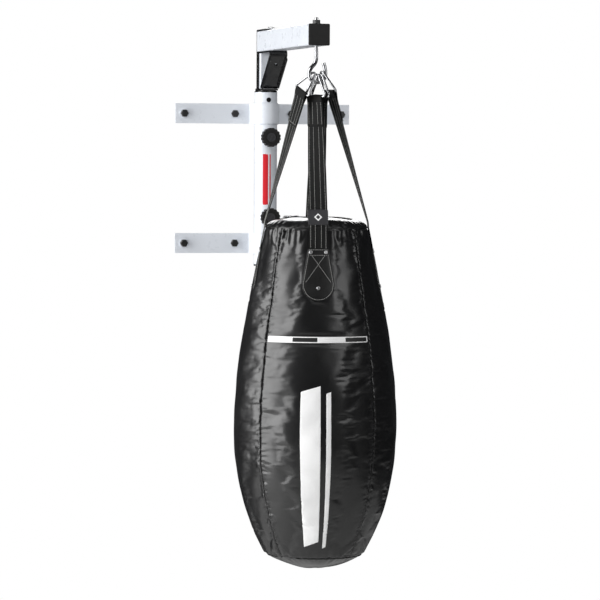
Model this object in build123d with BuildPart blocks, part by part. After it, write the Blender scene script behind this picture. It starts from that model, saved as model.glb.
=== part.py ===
from build123d import *

import os
from math import acos, atan2, cos, degrees, radians, sin

# Uppercut bag hanging from a wall bracket with a height-adjustable, swivelling arm.
# Origin: centre of the wall bolt pattern on the wall plane. +X to the right along the wall,
# -Y out of the wall towards the user, +Z up. Millimetres.

# ---- wall straps and their fasteners
bolt_span = 406.4          # outer lag bolts, one stud bay apart
inner_bolt_span = 146.0
strap_pitch = 325.0        # height between the two wall straps
wall_strap_length = 450.0
wall_strap_height = 50.0
wall_strap_thickness = 5.0
wall_strap_bend = 4.0      # fillet where the strap turns out round the tube
lag_radius = 4.75
lag_hole_radius = 6.0      # in the wall straps and the washers
lag_depth = 50.0           # bolt length that goes into the wall
lag_point_chamfer = 3.5
lag_crown_chamfer = 1.2
lag_head_flats = 17.0
lag_head_height = 7.0
washer_radius = 11.0
washer_thickness = 2.0

# ---- receiver tube
tube_radius = 28.5
tube_wall = 3.0
tube_bottom = -215.0
tube_top = 216.0
mast_y = -(wall_strap_thickness + tube_radius)
guide_length = 40.0
guide_bottoms = (-88.0, tube_top - guide_length)
guide_screw_z = 197.0
guide_screw_radius = 3.0
guide_screw_tip = 23.5     # distance out from the mast axis
guide_screw_head_radius = 5.8
guide_screw_head_height = 2.4
guide_screw_crown = 1.6
bottom_cap_thickness = 4.0
bottom_cap_skirt = 11.0
bottom_cap_skirt_wall = 3.0
bottom_cap_fillet = 1.5
weld_nut_radius = 10.0
weld_nut_face = 39.0       # distance out from the mast axis

# ---- sliding mast
mast_radius = 22.2
guide_clearance = 0.07
stem_radius = 19.0
stem_wall = 4.0
stem_bottom = 100.0
stem_clearance = 0.08
collar_gap = 0.1
collar_fillet = 1.2
mast_bottom = -200.0
collar_top = 220.0

# ---- clamping knobs
knob_heights = {"upper": 103.0, "lower": -97.0}
knob_radius = 24.0
knob_back = 44.0           # distances out from the mast axis
knob_face = 62.0
knob_fillet = 1.5
knob_boss_radius = 13.0
knob_boss_back = 40.0
knob_scallops = 16
scallop_radius = 3.0
scallop_offset = 1.2       # scallop centres stand this far outside the knob's rim
recess_radius = 13.5
recess_depth = 2.5
insert_radius = 11.5
insert_thickness = 1.6
insert_ring = (9.5, 7.9)   # raised ring, outer and inner radius
insert_slot = (16.5, 2.6)
insert_slot_turn = 60
stud_radius = 5.0
stud_clearance = 0.08
stud_back = 25.3
stud_length = 33.0
stud_chamfer = 0.8
pad_back = 22.7
pad_radius = 4.4
pad_thickness = 2.5
pad_fillet = 0.4

# ---- swivelling head and arm
hub_bottom = 220.3
hub_top = 225.0
arm_size = 50.8
arm_wall = 3.0
arm_bottom = 317.0
arm_back = 6.0
arm_end = 506.0
plate = 4.0
hub_radius = 27.0
hub_tongue = (46.0, 36.0)
hub_fillet = 4.0
channel_back = 2.0         # distances in front of the mast axis
channel_flange = (3.0, 14.0)
top_tab_front = 90.0
post_size = (43.0, 21.0)
post_back = 6.25
post_wall = 2.5
brace_width = 45.0
brace_bend_radius = 7.0
brace_foot_reach = 31.0
brace_bend_reach = 136.0
brace_flange = (3.0, 9.0)
head_bolt_reach = 45.0
head_bolt_radius = 5.0
shelf_bolt_reach = 100.0
shelf_bolt_radius = 4.2
end_cap_thickness = 5.0
end_cap_lip = 0.3
end_cap_fillet = 1.8
end_cap_plug = 12.0
end_cap_wall = 2.5
hook_reach = 482.0         # hook shank in front of the mast axis

# ---- hook and hanging gear
hang_yaw = -13.0           # the bag and hook are turned a little to one side
wire_radius = 4.6
bowl_radius = 19.2
bowl_offset = 3.0          # bowl and bag centre beside the shank
bowl_z = 250.0
ring_wire = 2.75
ring_half = 29.0
ring_height = 44.0
ring_nose = 8.6
ring_corner = 6.0
webbing_width = 44.0
webbing_thickness = 4.4

# ---- bag
seam_top = -112.0
seam_bottom = -889.0
dome_top = -89.0
dish_bottom = -922.0
bag_curve = (121.4, 162.2, -18.1, -25.3, -128.3)
skin = 2.0
layer_gap = 0.3
foam = 14.0
patch_top = -161.0
patch_round_z = -244.0
patch_radius = 38.0
patch_thickness = 2.5
patch_top_width = 48.0

arm_top = arm_bottom + arm_size
hook_y = mast_y - hook_reach
side_angles = {"front": -90.0, "left": 180.0, "back": 90.0, "right": 0.0}
hang = Plane(origin=(0, hook_y, 0), x_dir=(cos(radians(hang_yaw)), sin(radians(hang_yaw)), 0),
             z_dir=(0, 0, 1))
bag_centre = hang.from_local_coords(Vector(bowl_offset, 0, 0))
bag_plane = Plane(origin=bag_centre, x_dir=hang.x_dir, z_dir=(0, 0, 1))
hook_plane = Plane(origin=hang.origin, x_dir=hang.x_dir, z_dir=-hang.y_dir)


def out_y(distance):
    """Y of a point this far in front of the mast axis."""
    return mast_y - distance


def front_plane(x, distance, z):
    """Plane facing out of the wall, this far in front of the mast axis."""
    return Plane(origin=(x, out_y(distance), z), x_dir=(1, 0, 0), z_dir=(0, -1, 0))


def bag_radius(z):
    """Radius of the bag's outer surface at height z."""
    t = (seam_top - z) / (seam_top - seam_bottom)
    return sum(factor * t ** power for power, factor in enumerate(bag_curve))


def side_points(shift, z_from=seam_top, z_to=seam_bottom, count=15):
    """Points down the side of the bag, moved outwards by shift."""
    step = (z_to - z_from) / (count - 1)
    return [(bag_radius(z_from + i * step) + shift, z_from + i * step) for i in range(count)]


def radial_plane(angle, z=0.0):
    """Plane through the bag axis: local X points outwards at this angle, local Y is up."""
    out = bag_plane.x_dir * cos(radians(angle)) + bag_plane.y_dir * sin(radians(angle))
    return Plane(origin=bag_centre + Vector(0, 0, z), x_dir=out, z_dir=out.cross(Vector(0, 0, 1)))


def facing_plane(angle, z, distance):
    """Plane across a radius of the bag, facing outwards, local X to the right and Y up."""
    out = radial_plane(angle).x_dir
    origin = bag_centre + out * distance + Vector(0, 0, z)
    return Plane(origin=origin, x_dir=Vector(0, 0, 1).cross(out), z_dir=out)


def save(piece, name):
    """Label a finished piece and write its STEP file."""
    piece.part.label = name
    export_step(piece.part, f"parts/{name}.step")


os.makedirs("parts", exist_ok=True)

# ================================================================= wall straps
strap_heights = {"upper": strap_pitch / 2, "lower": -strap_pitch / 2}
lag_places = [(x, z) for z in strap_heights.values()
              for x in (-bolt_span / 2, -inner_bolt_span / 2, inner_bolt_span / 2, bolt_span / 2)]
wrap_radius = tube_radius + wall_strap_thickness

for side, strap_z in strap_heights.items():
    with BuildPart() as wall_strap:
        with BuildSketch(Plane.XY.offset(strap_z - wall_strap_height / 2)):
            with Locations((0, -wall_strap_thickness / 2)):
                Rectangle(wall_strap_length, wall_strap_thickness)
            with Locations((0, mast_y / 2)):
                Rectangle(2 * wrap_radius, -mast_y)
            with Locations((0, mast_y)):
                Circle(wrap_radius)
                Circle(tube_radius, mode=Mode.SUBTRACT)
            with Locations((0, mast_y / 2)):
                Rectangle(2 * tube_radius, -mast_y, mode=Mode.SUBTRACT)
        extrude(amount=wall_strap_height)
        bends = [edge for edge in wall_strap.edges().filter_by(Axis.Z)
                 if abs(abs(edge.center().X) - wrap_radius) < 0.1
                 and abs(edge.center().Y + wall_strap_thickness) < 0.1]
        fillet(bends, radius=wall_strap_bend)
        with Locations(*[front_plane(x, mast_y + wall_strap_thickness, strap_z)
                         for x, z in lag_places if z == strap_z]):
            Hole(radius=lag_hole_radius)
    save(wall_strap, f"wall_strap_{side}")

with BuildPart() as lag_bolts:
    for x, z in lag_places:
        with BuildSketch(front_plane(x, mast_y - lag_depth, z)):
            Circle(lag_radius)
        extrude(amount=lag_depth + wall_strap_thickness + washer_thickness)
        with BuildSketch(front_plane(x, mast_y + wall_strap_thickness + washer_thickness, z)):
            RegularPolygon(radius=lag_head_flats / 2, side_count=6, major_radius=False)
        extrude(amount=lag_head_height)
    crowns = lag_bolts.faces().filter_by(Axis.Y).group_by(Axis.Y)[0].edges()
    chamfer(crowns, length=lag_crown_chamfer)
    points = lag_bolts.faces().filter_by(Axis.Y).group_by(Axis.Y)[-1].edges()
    chamfer(points, length=lag_point_chamfer)
save(lag_bolts, "lag_bolts")

with BuildPart() as lag_washers:
    for x, z in lag_places:
        with BuildSketch(front_plane(x, mast_y + wall_strap_thickness, z)):
            Circle(washer_radius)
            Circle(lag_hole_radius, mode=Mode.SUBTRACT)
        extrude(amount=washer_thickness)
save(lag_washers, "lag_washers")

# ================================================================= receiver
with BuildPart() as receiver_tube:
    with BuildSketch(Plane(origin=(0, mast_y, tube_bottom))):
        Circle(tube_radius)
        Circle(tube_radius - tube_wall, mode=Mode.SUBTRACT)
    extrude(amount=tube_top - tube_bottom)
    for height in knob_heights.values():
        with BuildSketch(front_plane(0, 0, height)):
            Circle(stud_radius + stud_clearance)
        extrude(amount=tube_radius + 1, mode=Mode.SUBTRACT)
    with BuildSketch(front_plane(0, 0, guide_screw_z)):
        Circle(guide_screw_radius)
    extrude(amount=tube_radius + 1, mode=Mode.SUBTRACT)
save(receiver_tube, "receiver_tube")

for name, bottom in zip(("lower_guide_bushing", "upper_guide_bushing"), guide_bottoms):
    with BuildPart() as guide_bushing:
        with BuildSketch(Plane(origin=(0, mast_y, bottom))):
            Circle(tube_radius - tube_wall)
            Circle(mast_radius + guide_clearance, mode=Mode.SUBTRACT)
        extrude(amount=guide_length)
        if name.startswith("upper"):
            with BuildSketch(front_plane(0, 0, guide_screw_z)):
                Circle(guide_screw_radius)
            extrude(amount=tube_radius, mode=Mode.SUBTRACT)
    save(guide_bushing, name)

with BuildPart() as guide_screw:
    with BuildSketch(front_plane(0, guide_screw_tip, guide_screw_z)):
        Circle(guide_screw_radius)
    extrude(amount=tube_radius - guide_screw_tip)
    with BuildSketch(front_plane(0, tube_radius, guide_screw_z)):
        Circle(guide_screw_head_radius)
    extrude(amount=guide_screw_head_height)
    fillet(guide_screw.faces().sort_by(Axis.Y)[0].edges(), radius=guide_screw_crown)
save(guide_screw, "guide_screw")

with BuildPart() as bottom_cap:
    with BuildSketch(Plane(origin=(0, mast_y, tube_bottom))):
        Circle(tube_radius)
    extrude(amount=-bottom_cap_thickness)
    fillet(bottom_cap.edges().group_by(Axis.Z)[0], radius=bottom_cap_fillet)
    with BuildSketch(Plane(origin=(0, mast_y, tube_bottom))):
        Circle(tube_radius - tube_wall)
        Circle(tube_radius - tube_wall - bottom_cap_skirt_wall, mode=Mode.SUBTRACT)
    extrude(amount=bottom_cap_skirt)
save(bottom_cap, "receiver_bottom_cap")

for side, height in knob_heights.items():
    with BuildPart() as weld_nut:
        with BuildSketch(front_plane(0, mast_radius, height)):
            Circle(weld_nut_radius)
        extrude(amount=weld_nut_face - mast_radius)
        with BuildSketch(Plane(origin=(0, mast_y, height - 2 * weld_nut_radius))):
            Circle(tube_radius)
        extrude(amount=4 * weld_nut_radius, mode=Mode.SUBTRACT)
        with BuildSketch(front_plane(0, 0, height)):
            Circle(stud_radius + stud_clearance)
        extrude(amount=weld_nut_face + 1, mode=Mode.SUBTRACT)
    save(weld_nut, f"weld_nut_{side}")

# ================================================================= clamping knobs
for side, height in knob_heights.items():
    with BuildPart() as clamp_pad:
        with BuildSketch(front_plane(0, pad_back, height)):
            Circle(pad_radius)
        extrude(amount=pad_thickness)
        fillet(clamp_pad.edges(), radius=pad_fillet)
    save(clamp_pad, f"clamp_pad_{side}")

    with BuildPart() as knob_stud:
        with BuildSketch(front_plane(0, stud_back, height)):
            Circle(stud_radius)
        extrude(amount=stud_length)
        chamfer(knob_stud.faces().sort_by(Axis.Y)[-1].edges(), length=stud_chamfer)
    save(knob_stud, f"knob_stud_{side}")

    with BuildPart() as lock_knob:
        with BuildSketch(front_plane(0, knob_boss_back, height)):
            Circle(knob_boss_radius)
        extrude(amount=knob_back - knob_boss_back + 2)
        with BuildSketch(front_plane(0, knob_back, height)):
            Circle(knob_radius)
            with PolarLocations(knob_radius + scallop_offset, knob_scallops):
                Circle(scallop_radius, mode=Mode.SUBTRACT)
        extrude(amount=knob_face - knob_back)
        fillet(lock_knob.faces().sort_by(Axis.Y)[0].edges(), radius=knob_fillet)
        with BuildSketch(front_plane(0, knob_face, height)):
            Circle(recess_radius)
        extrude(amount=-recess_depth, mode=Mode.SUBTRACT)
        with BuildSketch(front_plane(0, knob_boss_back, height)):
            Circle(stud_radius)
        extrude(amount=stud_back + stud_length - knob_boss_back, mode=Mode.SUBTRACT)
    save(lock_knob, f"lock_knob_{side}")

    with BuildPart() as knob_insert:
        with BuildSketch(front_plane(0, knob_face - recess_depth, height)):
            Circle(insert_radius)
        extrude(amount=insert_thickness)
        with BuildSketch(front_plane(0, knob_face - recess_depth + insert_thickness, height)):
            Circle(insert_ring[0])
            Circle(insert_ring[1], mode=Mode.SUBTRACT)
            Rectangle(*insert_slot, rotation=insert_slot_turn)
        extrude(amount=1.0)
    save(knob_insert, f"knob_insert_{side}")

# ================================================================= sliding mast
with BuildPart() as mast_tube:
    with BuildSketch(Plane(origin=(0, mast_y, mast_bottom))):
        Circle(mast_radius)
        Circle(stem_radius + stem_clearance, mode=Mode.SUBTRACT)
    extrude(amount=collar_top - mast_bottom)
save(mast_tube, "mast_tube")

with BuildPart() as mast_collar:
    with BuildSketch(Plane(origin=(0, mast_y, tube_top + collar_gap))):
        Circle(tube_radius)
        Circle(mast_radius, mode=Mode.SUBTRACT)
    extrude(amount=collar_top - tube_top - collar_gap)
    fillet(mast_collar.edges().group_by(Axis.Z)[-1].sort_by(SortBy.LENGTH)[-1],
           radius=collar_fillet)
save(mast_collar, "mast_collar")

# ================================================================= swivelling head
with BuildPart() as swivel_stem:
    with BuildSketch(Plane(origin=(0, mast_y, stem_bottom))):
        Circle(stem_radius)
        Circle(stem_radius - stem_wall, mode=Mode.SUBTRACT)
    extrude(amount=hub_bottom - stem_bottom)
save(swivel_stem, "swivel_stem")

with BuildPart() as hub_plate:
    with BuildSketch(Plane(origin=(0, mast_y, hub_bottom))):
        Circle(hub_radius)
        with Locations((0, -hub_tongue[1] / 2)):
            Rectangle(*hub_tongue)
    extrude(amount=hub_top - hub_bottom)
    fillet(hub_plate.edges().filter_by(Axis.Z), radius=hub_fillet)
save(hub_plate, "hub_plate")

with BuildPart() as back_channel:
    with BuildSketch(front_plane(0, channel_back, 0)):
        with Locations((0, (hub_top + arm_top + plate) / 2)):
            Rectangle(arm_size, arm_top + plate - hub_top)
    extrude(amount=plate)
    with BuildSketch(front_plane(0, channel_back, 0)):
        for side in (-1, 1):
            with Locations((side * (arm_size - channel_flange[0]) / 2,
                            (hub_top + arm_bottom - plate) / 2)):
                Rectangle(channel_flange[0], arm_bottom - plate - hub_top)
    extrude(amount=channel_flange[1])
    with BuildSketch(Plane(origin=(0, 0, arm_top))):
        with Locations((0, out_y((channel_back + top_tab_front) / 2))):
            Rectangle(arm_size, top_tab_front - channel_back)
    extrude(amount=plate)
    top_bend = back_channel.edges().filter_by(Axis.X).group_by(Axis.Z)[-1].sort_by(Axis.Y)[-1]
    fillet(top_bend, radius=3)
    with Locations(Plane(origin=(0, out_y(head_bolt_reach), arm_top + plate))):
        Hole(radius=head_bolt_radius, depth=plate)
save(back_channel, "back_channel")

with BuildPart() as head_post:
    with BuildSketch(Plane(origin=(0, mast_y, hub_top))):
        with Locations((0, -post_back - post_size[1] / 2)):
            RectangleRounded(*post_size, radius=3)
            RectangleRounded(post_size[0] - 2 * post_wall, post_size[1] - 2 * post_wall, radius=1,
                             mode=Mode.SUBTRACT)
    extrude(amount=arm_bottom - plate - hub_top)
save(head_post, "head_post")

brace_foot = (out_y(brace_foot_reach), hub_top + 2.5)
brace_bend = (out_y(brace_bend_reach), arm_bottom - plate / 2)
shelf_back = (out_y(arm_back + 0.2), arm_bottom - plate / 2)
with BuildPart() as brace:
    with BuildSketch(Plane.YZ.offset(-brace_width / 2)):
        with BuildLine():
            FilletPolyline(brace_foot, brace_bend, shelf_back, radius=brace_bend_radius)
        trace(line_width=plate)
    extrude(amount=brace_width)
    flange_start = Vector(*brace_foot)
    flange_end = Vector(*brace_bend)
    slope = (flange_end - flange_start).normalized()
    down = Vector(-slope.Y, slope.X) * (plate + brace_flange[1]) / 2
    for flange_x in (-brace_width / 2, brace_width / 2 - brace_flange[0]):
        with BuildSketch(Plane.YZ.offset(flange_x)):
            with BuildLine():
                Line(flange_start + slope * 9 + down, flange_end - slope * 20 + down)
            trace(line_width=brace_flange[1])
        extrude(amount=brace_flange[0])
    with BuildSketch(Plane(origin=(0, out_y(shelf_bolt_reach), 0))):
        Circle(shelf_bolt_radius)
    extrude(amount=arm_bottom + 1, mode=Mode.SUBTRACT)
    with BuildSketch(Plane(origin=(0, mast_y, hub_top))):
        Rectangle(200, 400)
    extrude(amount=-40, mode=Mode.SUBTRACT)
save(brace, "brace")

with BuildPart() as arm_tube:
    with BuildSketch(front_plane(0, arm_back, arm_bottom + arm_size / 2)):
        RectangleRounded(arm_size, arm_size, radius=3)
        RectangleRounded(arm_size - 2 * arm_wall, arm_size - 2 * arm_wall, radius=1,
                         mode=Mode.SUBTRACT)
    extrude(amount=arm_end - arm_back)
    for reach, hole in ((head_bolt_reach, head_bolt_radius), (shelf_bolt_reach, shelf_bolt_radius),
                        (hook_reach, wire_radius + 0.1)):
        bottom = arm_top - 10 if reach == head_bolt_reach else arm_bottom - 1
        with BuildSketch(Plane(origin=(0, out_y(reach), bottom))):
            Circle(hole)
        extrude(amount=arm_top + 1 - bottom, mode=Mode.SUBTRACT)
save(arm_tube, "arm_tube")

cap_inner = arm_size - 2 * arm_wall
with BuildPart() as arm_end_cap:
    with BuildSketch(front_plane(0, arm_end, arm_bottom + arm_size / 2)):
        RectangleRounded(arm_size + 2 * end_cap_lip, arm_size + 2 * end_cap_lip, radius=3 + end_cap_lip)
    extrude(amount=end_cap_thickness)
    fillet(arm_end_cap.faces().sort_by(Axis.Y)[0].edges(), radius=end_cap_fillet)
    with BuildSketch(front_plane(0, arm_end, arm_bottom + arm_size / 2)):
        RectangleRounded(cap_inner, cap_inner, radius=1)
        RectangleRounded(cap_inner - 2 * end_cap_wall, cap_inner - 2 * end_cap_wall, radius=1,
                         mode=Mode.SUBTRACT)
    extrude(amount=-end_cap_plug)
save(arm_end_cap, "arm_end_cap")


def bolt(reach, head_z, end_z, radius, flats, head_height):
    """A hex bolt standing on the arm, head up, at this reach."""
    with BuildPart() as hex_bolt:
        with BuildSketch(Plane(origin=(0, out_y(reach), end_z))):
            Circle(radius)
        extrude(amount=head_z - end_z)
        with BuildSketch(Plane(origin=(0, out_y(reach), head_z))):
            RegularPolygon(radius=flats / 2, side_count=6, major_radius=False)
        extrude(amount=head_height)
        chamfer(hex_bolt.faces().sort_by(Axis.Z)[-1].edges(), length=0.8)
    return hex_bolt


def nut(plane, radius, flats, height):
    """A hex nut standing on this plane."""
    with BuildPart() as hex_nut:
        with BuildSketch(plane):
            RegularPolygon(radius=flats / 2, side_count=6, major_radius=False)
            Circle(radius, mode=Mode.SUBTRACT)
        extrude(amount=height)
    return hex_nut


head_flats = 16.0
head_nut_height = 8.0
shelf_flats = 13.0
shelf_nut_height = 6.5
bolt_end = 14.0            # bolt ends stand this far below the arm's top or bottom face
save(bolt(head_bolt_reach, arm_top + plate, arm_top - bolt_end, head_bolt_radius, head_flats, 6),
     "head_bolt")
save(nut(Plane(origin=(0, out_y(head_bolt_reach), arm_top - arm_wall - head_nut_height)),
         head_bolt_radius, head_flats, head_nut_height), "head_nut")
save(bolt(shelf_bolt_reach, arm_top, arm_bottom - bolt_end, shelf_bolt_radius, shelf_flats, 5),
     "shelf_bolt")
save(nut(Plane(origin=(0, out_y(shelf_bolt_reach), arm_bottom - plate - shelf_nut_height)),
         shelf_bolt_radius, shelf_flats, shelf_nut_height), "shelf_nut")

hook_washer_thickness = 1.8
with BuildPart() as hook_washer:
    with BuildSketch(Plane(origin=(0, hook_y, arm_top))):
        Circle(washer_radius)
        Circle(wire_radius + 0.1, mode=Mode.SUBTRACT)
    extrude(amount=hook_washer_thickness)
save(hook_washer, "hook_washer")

# ================================================================= hook
hook_nut_flats = 16.0
hook_nut_height = 8.0
shank_end = 288.0
bend_angle = 46.2          # the shank swings out and back by this much above the bowl
bend_radius = (bowl_radius - bowl_offset) / 2 / (1 - cos(radians(bend_angle)))
tip_radius = 70.0
tip_angle = 22.0
with BuildLine() as hook_line:
    shank = Line((0, arm_top + 16), (0, shank_end))
    out_bend = JernArc(shank @ 1, (0, -1), bend_radius, -bend_angle)
    back_bend = JernArc(out_bend @ 1, out_bend % 1, bend_radius, bend_angle)
    bowl = JernArc(back_bend @ 1, (0, -1), bowl_radius, 180)
    tip = JernArc(bowl @ 1, (0, 1), tip_radius, tip_angle)
hook_path = hook_plane * hook_line.wire()
with BuildPart() as hook:
    with BuildSketch(Plane(origin=hook_path @ 0, z_dir=hook_path % 0)):
        Circle(wire_radius)
    sweep(path=hook_path)
    chamfer(hook.faces().filter_by(Axis.Z).sort_by(Axis.Z)[-1].edges(), length=0.8)
save(hook, "hook")

hook_nut = nut(Plane(origin=(0, hook_y, arm_top + 2)), wire_radius, hook_nut_flats, hook_nut_height)
save(hook_nut, "hook_nut")

# ================================================================= hanging rings and straps
# Each ring's place on the hook bowl (degrees round from its lowest point), the turn of its
# base bar, the side and amount that it leans to, and how far its nose stands above the wire.
ring_poses = {
    "left": (-38.4, -47.7, 169.2, 33.5, 19.2),
    "front": (-7.7, -41.5, -127.8, 5.0, 18.0),
    "back": (23.0, -49.7, 79.8, 5.2, 17.0),
    "right": (45.8, -64.4, 28.5, 27.2, 19.8),
}
bar_offset = 4.0           # webbing starts this far below the middle of the base bar
shoulder = (124.5, -104.0)
strap_foot_z = patch_top + 0.9


def ring_plane(side):
    """Plane of one ring: origin at the middle of its nose, local Y up along it."""
    place, turn, lean_to, lean, lift = ring_poses[side]
    foot = Vector(bowl_offset + bowl_radius * sin(radians(place)), 0,
                  bowl_z - bowl_radius * cos(radians(place)))
    nose = foot + Vector(0, 0, lift - ring_nose)
    up = Vector(-sin(radians(lean)) * cos(radians(lean_to)),
                -sin(radians(lean)) * sin(radians(lean_to)), cos(radians(lean)))
    bar = Vector(cos(radians(turn)), sin(radians(turn)), 0)
    bar = (bar - up * bar.dot(up)).normalized()
    turn_out = hang.x_dir * bar.X + hang.y_dir * bar.Y + Vector(0, 0, bar.Z)
    up_out = hang.x_dir * up.X + hang.y_dir * up.Y + Vector(0, 0, up.Z)
    return Plane(origin=hang.from_local_coords(nose), x_dir=turn_out, z_dir=turn_out.cross(up_out))


def strap_plane(side, share):
    """Cross-section plane of a strap, share 0 at the ring, 1 at the bag's shoulder, 2 at the patch."""
    ring = ring_plane(side)
    out = radial_plane(side_angles[side]).x_dir
    along = Vector(0, 0, 1).cross(out)
    if along.dot(ring.x_dir) < 0:
        along = -along
    top = ring.origin - ring.y_dir * (ring_height + bar_offset)
    bend = bag_centre + out * shoulder[0] + Vector(0, 0, shoulder[1])
    foot_radius = bag_radius(strap_foot_z) + webbing_thickness / 2 + 0.5
    foot = bag_centre + out * foot_radius + Vector(0, 0, strap_foot_z)
    if share > 1:
        origin = bend + (foot - bend) * (share - 1)
        return Plane(origin=origin, x_dir=along, z_dir=(bend - foot).normalized())
    origin = top + (bend - top) * share
    width = (ring.x_dir * (1 - share) + along * share).normalized()
    rise = (ring.y_dir * (1 - share) + (top - bend).normalized() * share).normalized()
    rise = (rise - width * rise.dot(width)).normalized()
    return Plane(origin=origin, x_dir=width, z_dir=rise)


corner = Vector(ring_half - ring_corner, ring_corner - ring_height)
leg_angle = degrees(atan2(corner.Y, corner.X) + acos((ring_nose - ring_corner) / corner.length))
leg_side = Vector(cos(radians(leg_angle)), sin(radians(leg_angle)))
with BuildLine() as half_ring:
    CenterArc((0, 0), ring_nose, 90, leg_angle - 90)
    Line(leg_side * ring_nose, corner + leg_side * ring_corner)
    CenterArc(corner, ring_corner, leg_angle, -leg_angle - 90)
    Line((corner.X, -ring_height), (0, -ring_height))

for side in side_angles:
    plane = ring_plane(side)
    half_path = plane * half_ring.wire()
    with BuildPart() as ring:
        with BuildSketch(Plane(origin=half_path @ 0, z_dir=half_path % 0)):
            Circle(ring_wire)
        sweep(path=half_path)
        mirror(about=Plane(origin=plane.origin, z_dir=plane.x_dir))
    save(ring, f"ring_{side}")

    bar_middle = plane.origin - plane.y_dir * ring_height
    with BuildPart() as strap:
        for share in (0, 0.2, 0.4, 0.6, 0.8, 1, 2):
            with BuildSketch(strap_plane(side, share)):
                Rectangle(webbing_width, webbing_thickness)
        loft(ruled=True)
        with BuildSketch(Plane(origin=bar_middle - plane.x_dir * webbing_width / 2,
                               z_dir=plane.x_dir)):
            Circle(ring_wire + webbing_thickness / 2 + 0.2)
        extrude(amount=webbing_width)
        with BuildSketch(Plane(origin=bar_middle - plane.x_dir * webbing_width / 2,
                               z_dir=plane.x_dir)):
            Circle(ring_wire + 0.2)
        extrude(amount=webbing_width, mode=Mode.SUBTRACT)
    save(strap, f"strap_{side}")

with BuildPart() as strap_badge:
    for share in (0.875, 0.93, 0.985):
        plane = strap_plane("front", share)
        lift = webbing_thickness / 2 + 1.0
        if plane.y_dir.dot(radial_plane(side_angles["front"]).x_dir) < 0:
            lift = -lift
        with BuildSketch(Plane(origin=plane.origin + plane.y_dir * lift, x_dir=plane.x_dir,
                               z_dir=plane.z_dir)):
            Rectangle(webbing_width + 3.5, 1.4)
    loft(ruled=True)
save(strap_badge, "strap_badge")

# ================================================================= bag
bag_axis = Axis(origin=bag_centre, direction=(0, 0, 1))
rim_radius = bag_radius(seam_top)
base_radius = bag_radius(seam_bottom)


def band(plane, inner, outer, z_from=seam_top, z_to=seam_bottom, count=15):
    """Face between two outlines of the bag's side, in this radial plane."""
    inside = side_points(inner, z_from, z_to, count)
    outside = side_points(outer, z_from, z_to, count)
    with BuildSketch(plane) as strip:
        with BuildLine():
            Spline(*inside)
            Spline(*outside)
            Line(inside[0], outside[0])
            Line(inside[-1], outside[-1])
        make_face()
    return strip.sketch


def dome(inset):
    """Outline of the bag's top, from the axis out to the seam."""
    points = [(0, dome_top - inset), (75, dome_top - 3 - inset), (107 - inset, dome_top - 10 - inset),
              (rim_radius - inset, seam_top)]
    return Spline(*points, tangents=[(1, 0), (0.4, -1)])


def dish(inset):
    """Outline of the bag's bottom, from the axis out to the seam."""
    return TangentArc((0, dish_bottom + inset), (base_radius - inset, seam_bottom), tangent=(1, 0))


for side, angle in side_angles.items():
    with BuildPart() as gore:
        revolve(band(radial_plane(angle - 45), -skin, 0), axis=bag_axis, revolution_arc=90)
    save(gore, f"gore_{side}")

with BuildPart() as top_panel:
    with BuildSketch(radial_plane(0)):
        with BuildLine():
            dome(0)
            dome(skin)
            Line((0, dome_top), (0, dome_top - skin))
            Line((rim_radius, seam_top), (rim_radius - skin, seam_top))
        make_face()
    revolve(axis=bag_axis)
save(top_panel, "top_panel")

with BuildPart() as bottom_panel:
    with BuildSketch(radial_plane(0)):
        with BuildLine():
            dish(0)
            dish(skin)
            Line((0, dish_bottom), (0, dish_bottom + skin))
            Line((base_radius, seam_bottom), (base_radius - skin, seam_bottom))
        make_face()
    revolve(axis=bag_axis)
save(bottom_panel, "bottom_panel")

foam_outer = skin + layer_gap
core_outer = foam_outer + foam + layer_gap
foam_top = seam_top - 2.5
foam_bottom = seam_bottom + 4.5
with BuildPart() as foam_liner:
    revolve(band(radial_plane(0), -foam_outer - foam, -foam_outer, foam_top, foam_bottom),
            axis=bag_axis)
save(foam_liner, "foam_liner")

with BuildPart() as fill_core:
    with BuildSketch(radial_plane(0)):
        core_side = side_points(-core_outer, foam_top - 1, foam_bottom + 1)
        with BuildLine():
            Spline(*core_side)
            Line(core_side[0], (0, foam_top - 1))
            Line((0, foam_top - 1), (0, foam_bottom + 1))
            Line((0, foam_bottom + 1), core_side[-1])
        make_face()
        cap_inset = skin + 0.6
        with BuildLine():
            dome(cap_inset)
            Line((rim_radius - cap_inset, seam_top), (rim_radius - cap_inset, foam_top + layer_gap))
            Line((rim_radius - cap_inset, foam_top + layer_gap), (60, foam_top + layer_gap))
            Line((60, foam_top + layer_gap), (60, foam_top - 5))
            Line((60, foam_top - 5), (0, foam_top - 5))
            Line((0, foam_top - 5), (0, dome_top - cap_inset))
        make_face()
        with BuildLine():
            dish(cap_inset)
            Line((base_radius - cap_inset, seam_bottom), (base_radius - cap_inset, foam_bottom - layer_gap))
            Line((base_radius - cap_inset, foam_bottom - layer_gap), (60, foam_bottom - layer_gap))
            Line((60, foam_bottom - layer_gap), (60, foam_bottom + 5))
            Line((60, foam_bottom + 5), (0, foam_bottom + 5))
            Line((0, foam_bottom + 5), (0, dish_bottom + cap_inset))
        make_face()
    revolve(axis=bag_axis)
save(fill_core, "fill_core")

for side, angle in side_angles.items():
    with BuildPart() as patch:
        revolve(band(radial_plane(angle - 30), 0.4, 0.4 + patch_thickness, patch_top + 10,
                     patch_round_z - patch_radius - 10, 7), axis=bag_axis, revolution_arc=60)
        with BuildSketch(facing_plane(angle, 0, 90)):
            with Locations((0, patch_round_z)):
                Circle(patch_radius)
            with Locations((0, patch_top - 1)):
                Rectangle(patch_top_width, 2)
            make_hull()
        extrude(amount=120, mode=Mode.INTERSECT)
    save(patch, f"patch_{side}")

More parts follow.
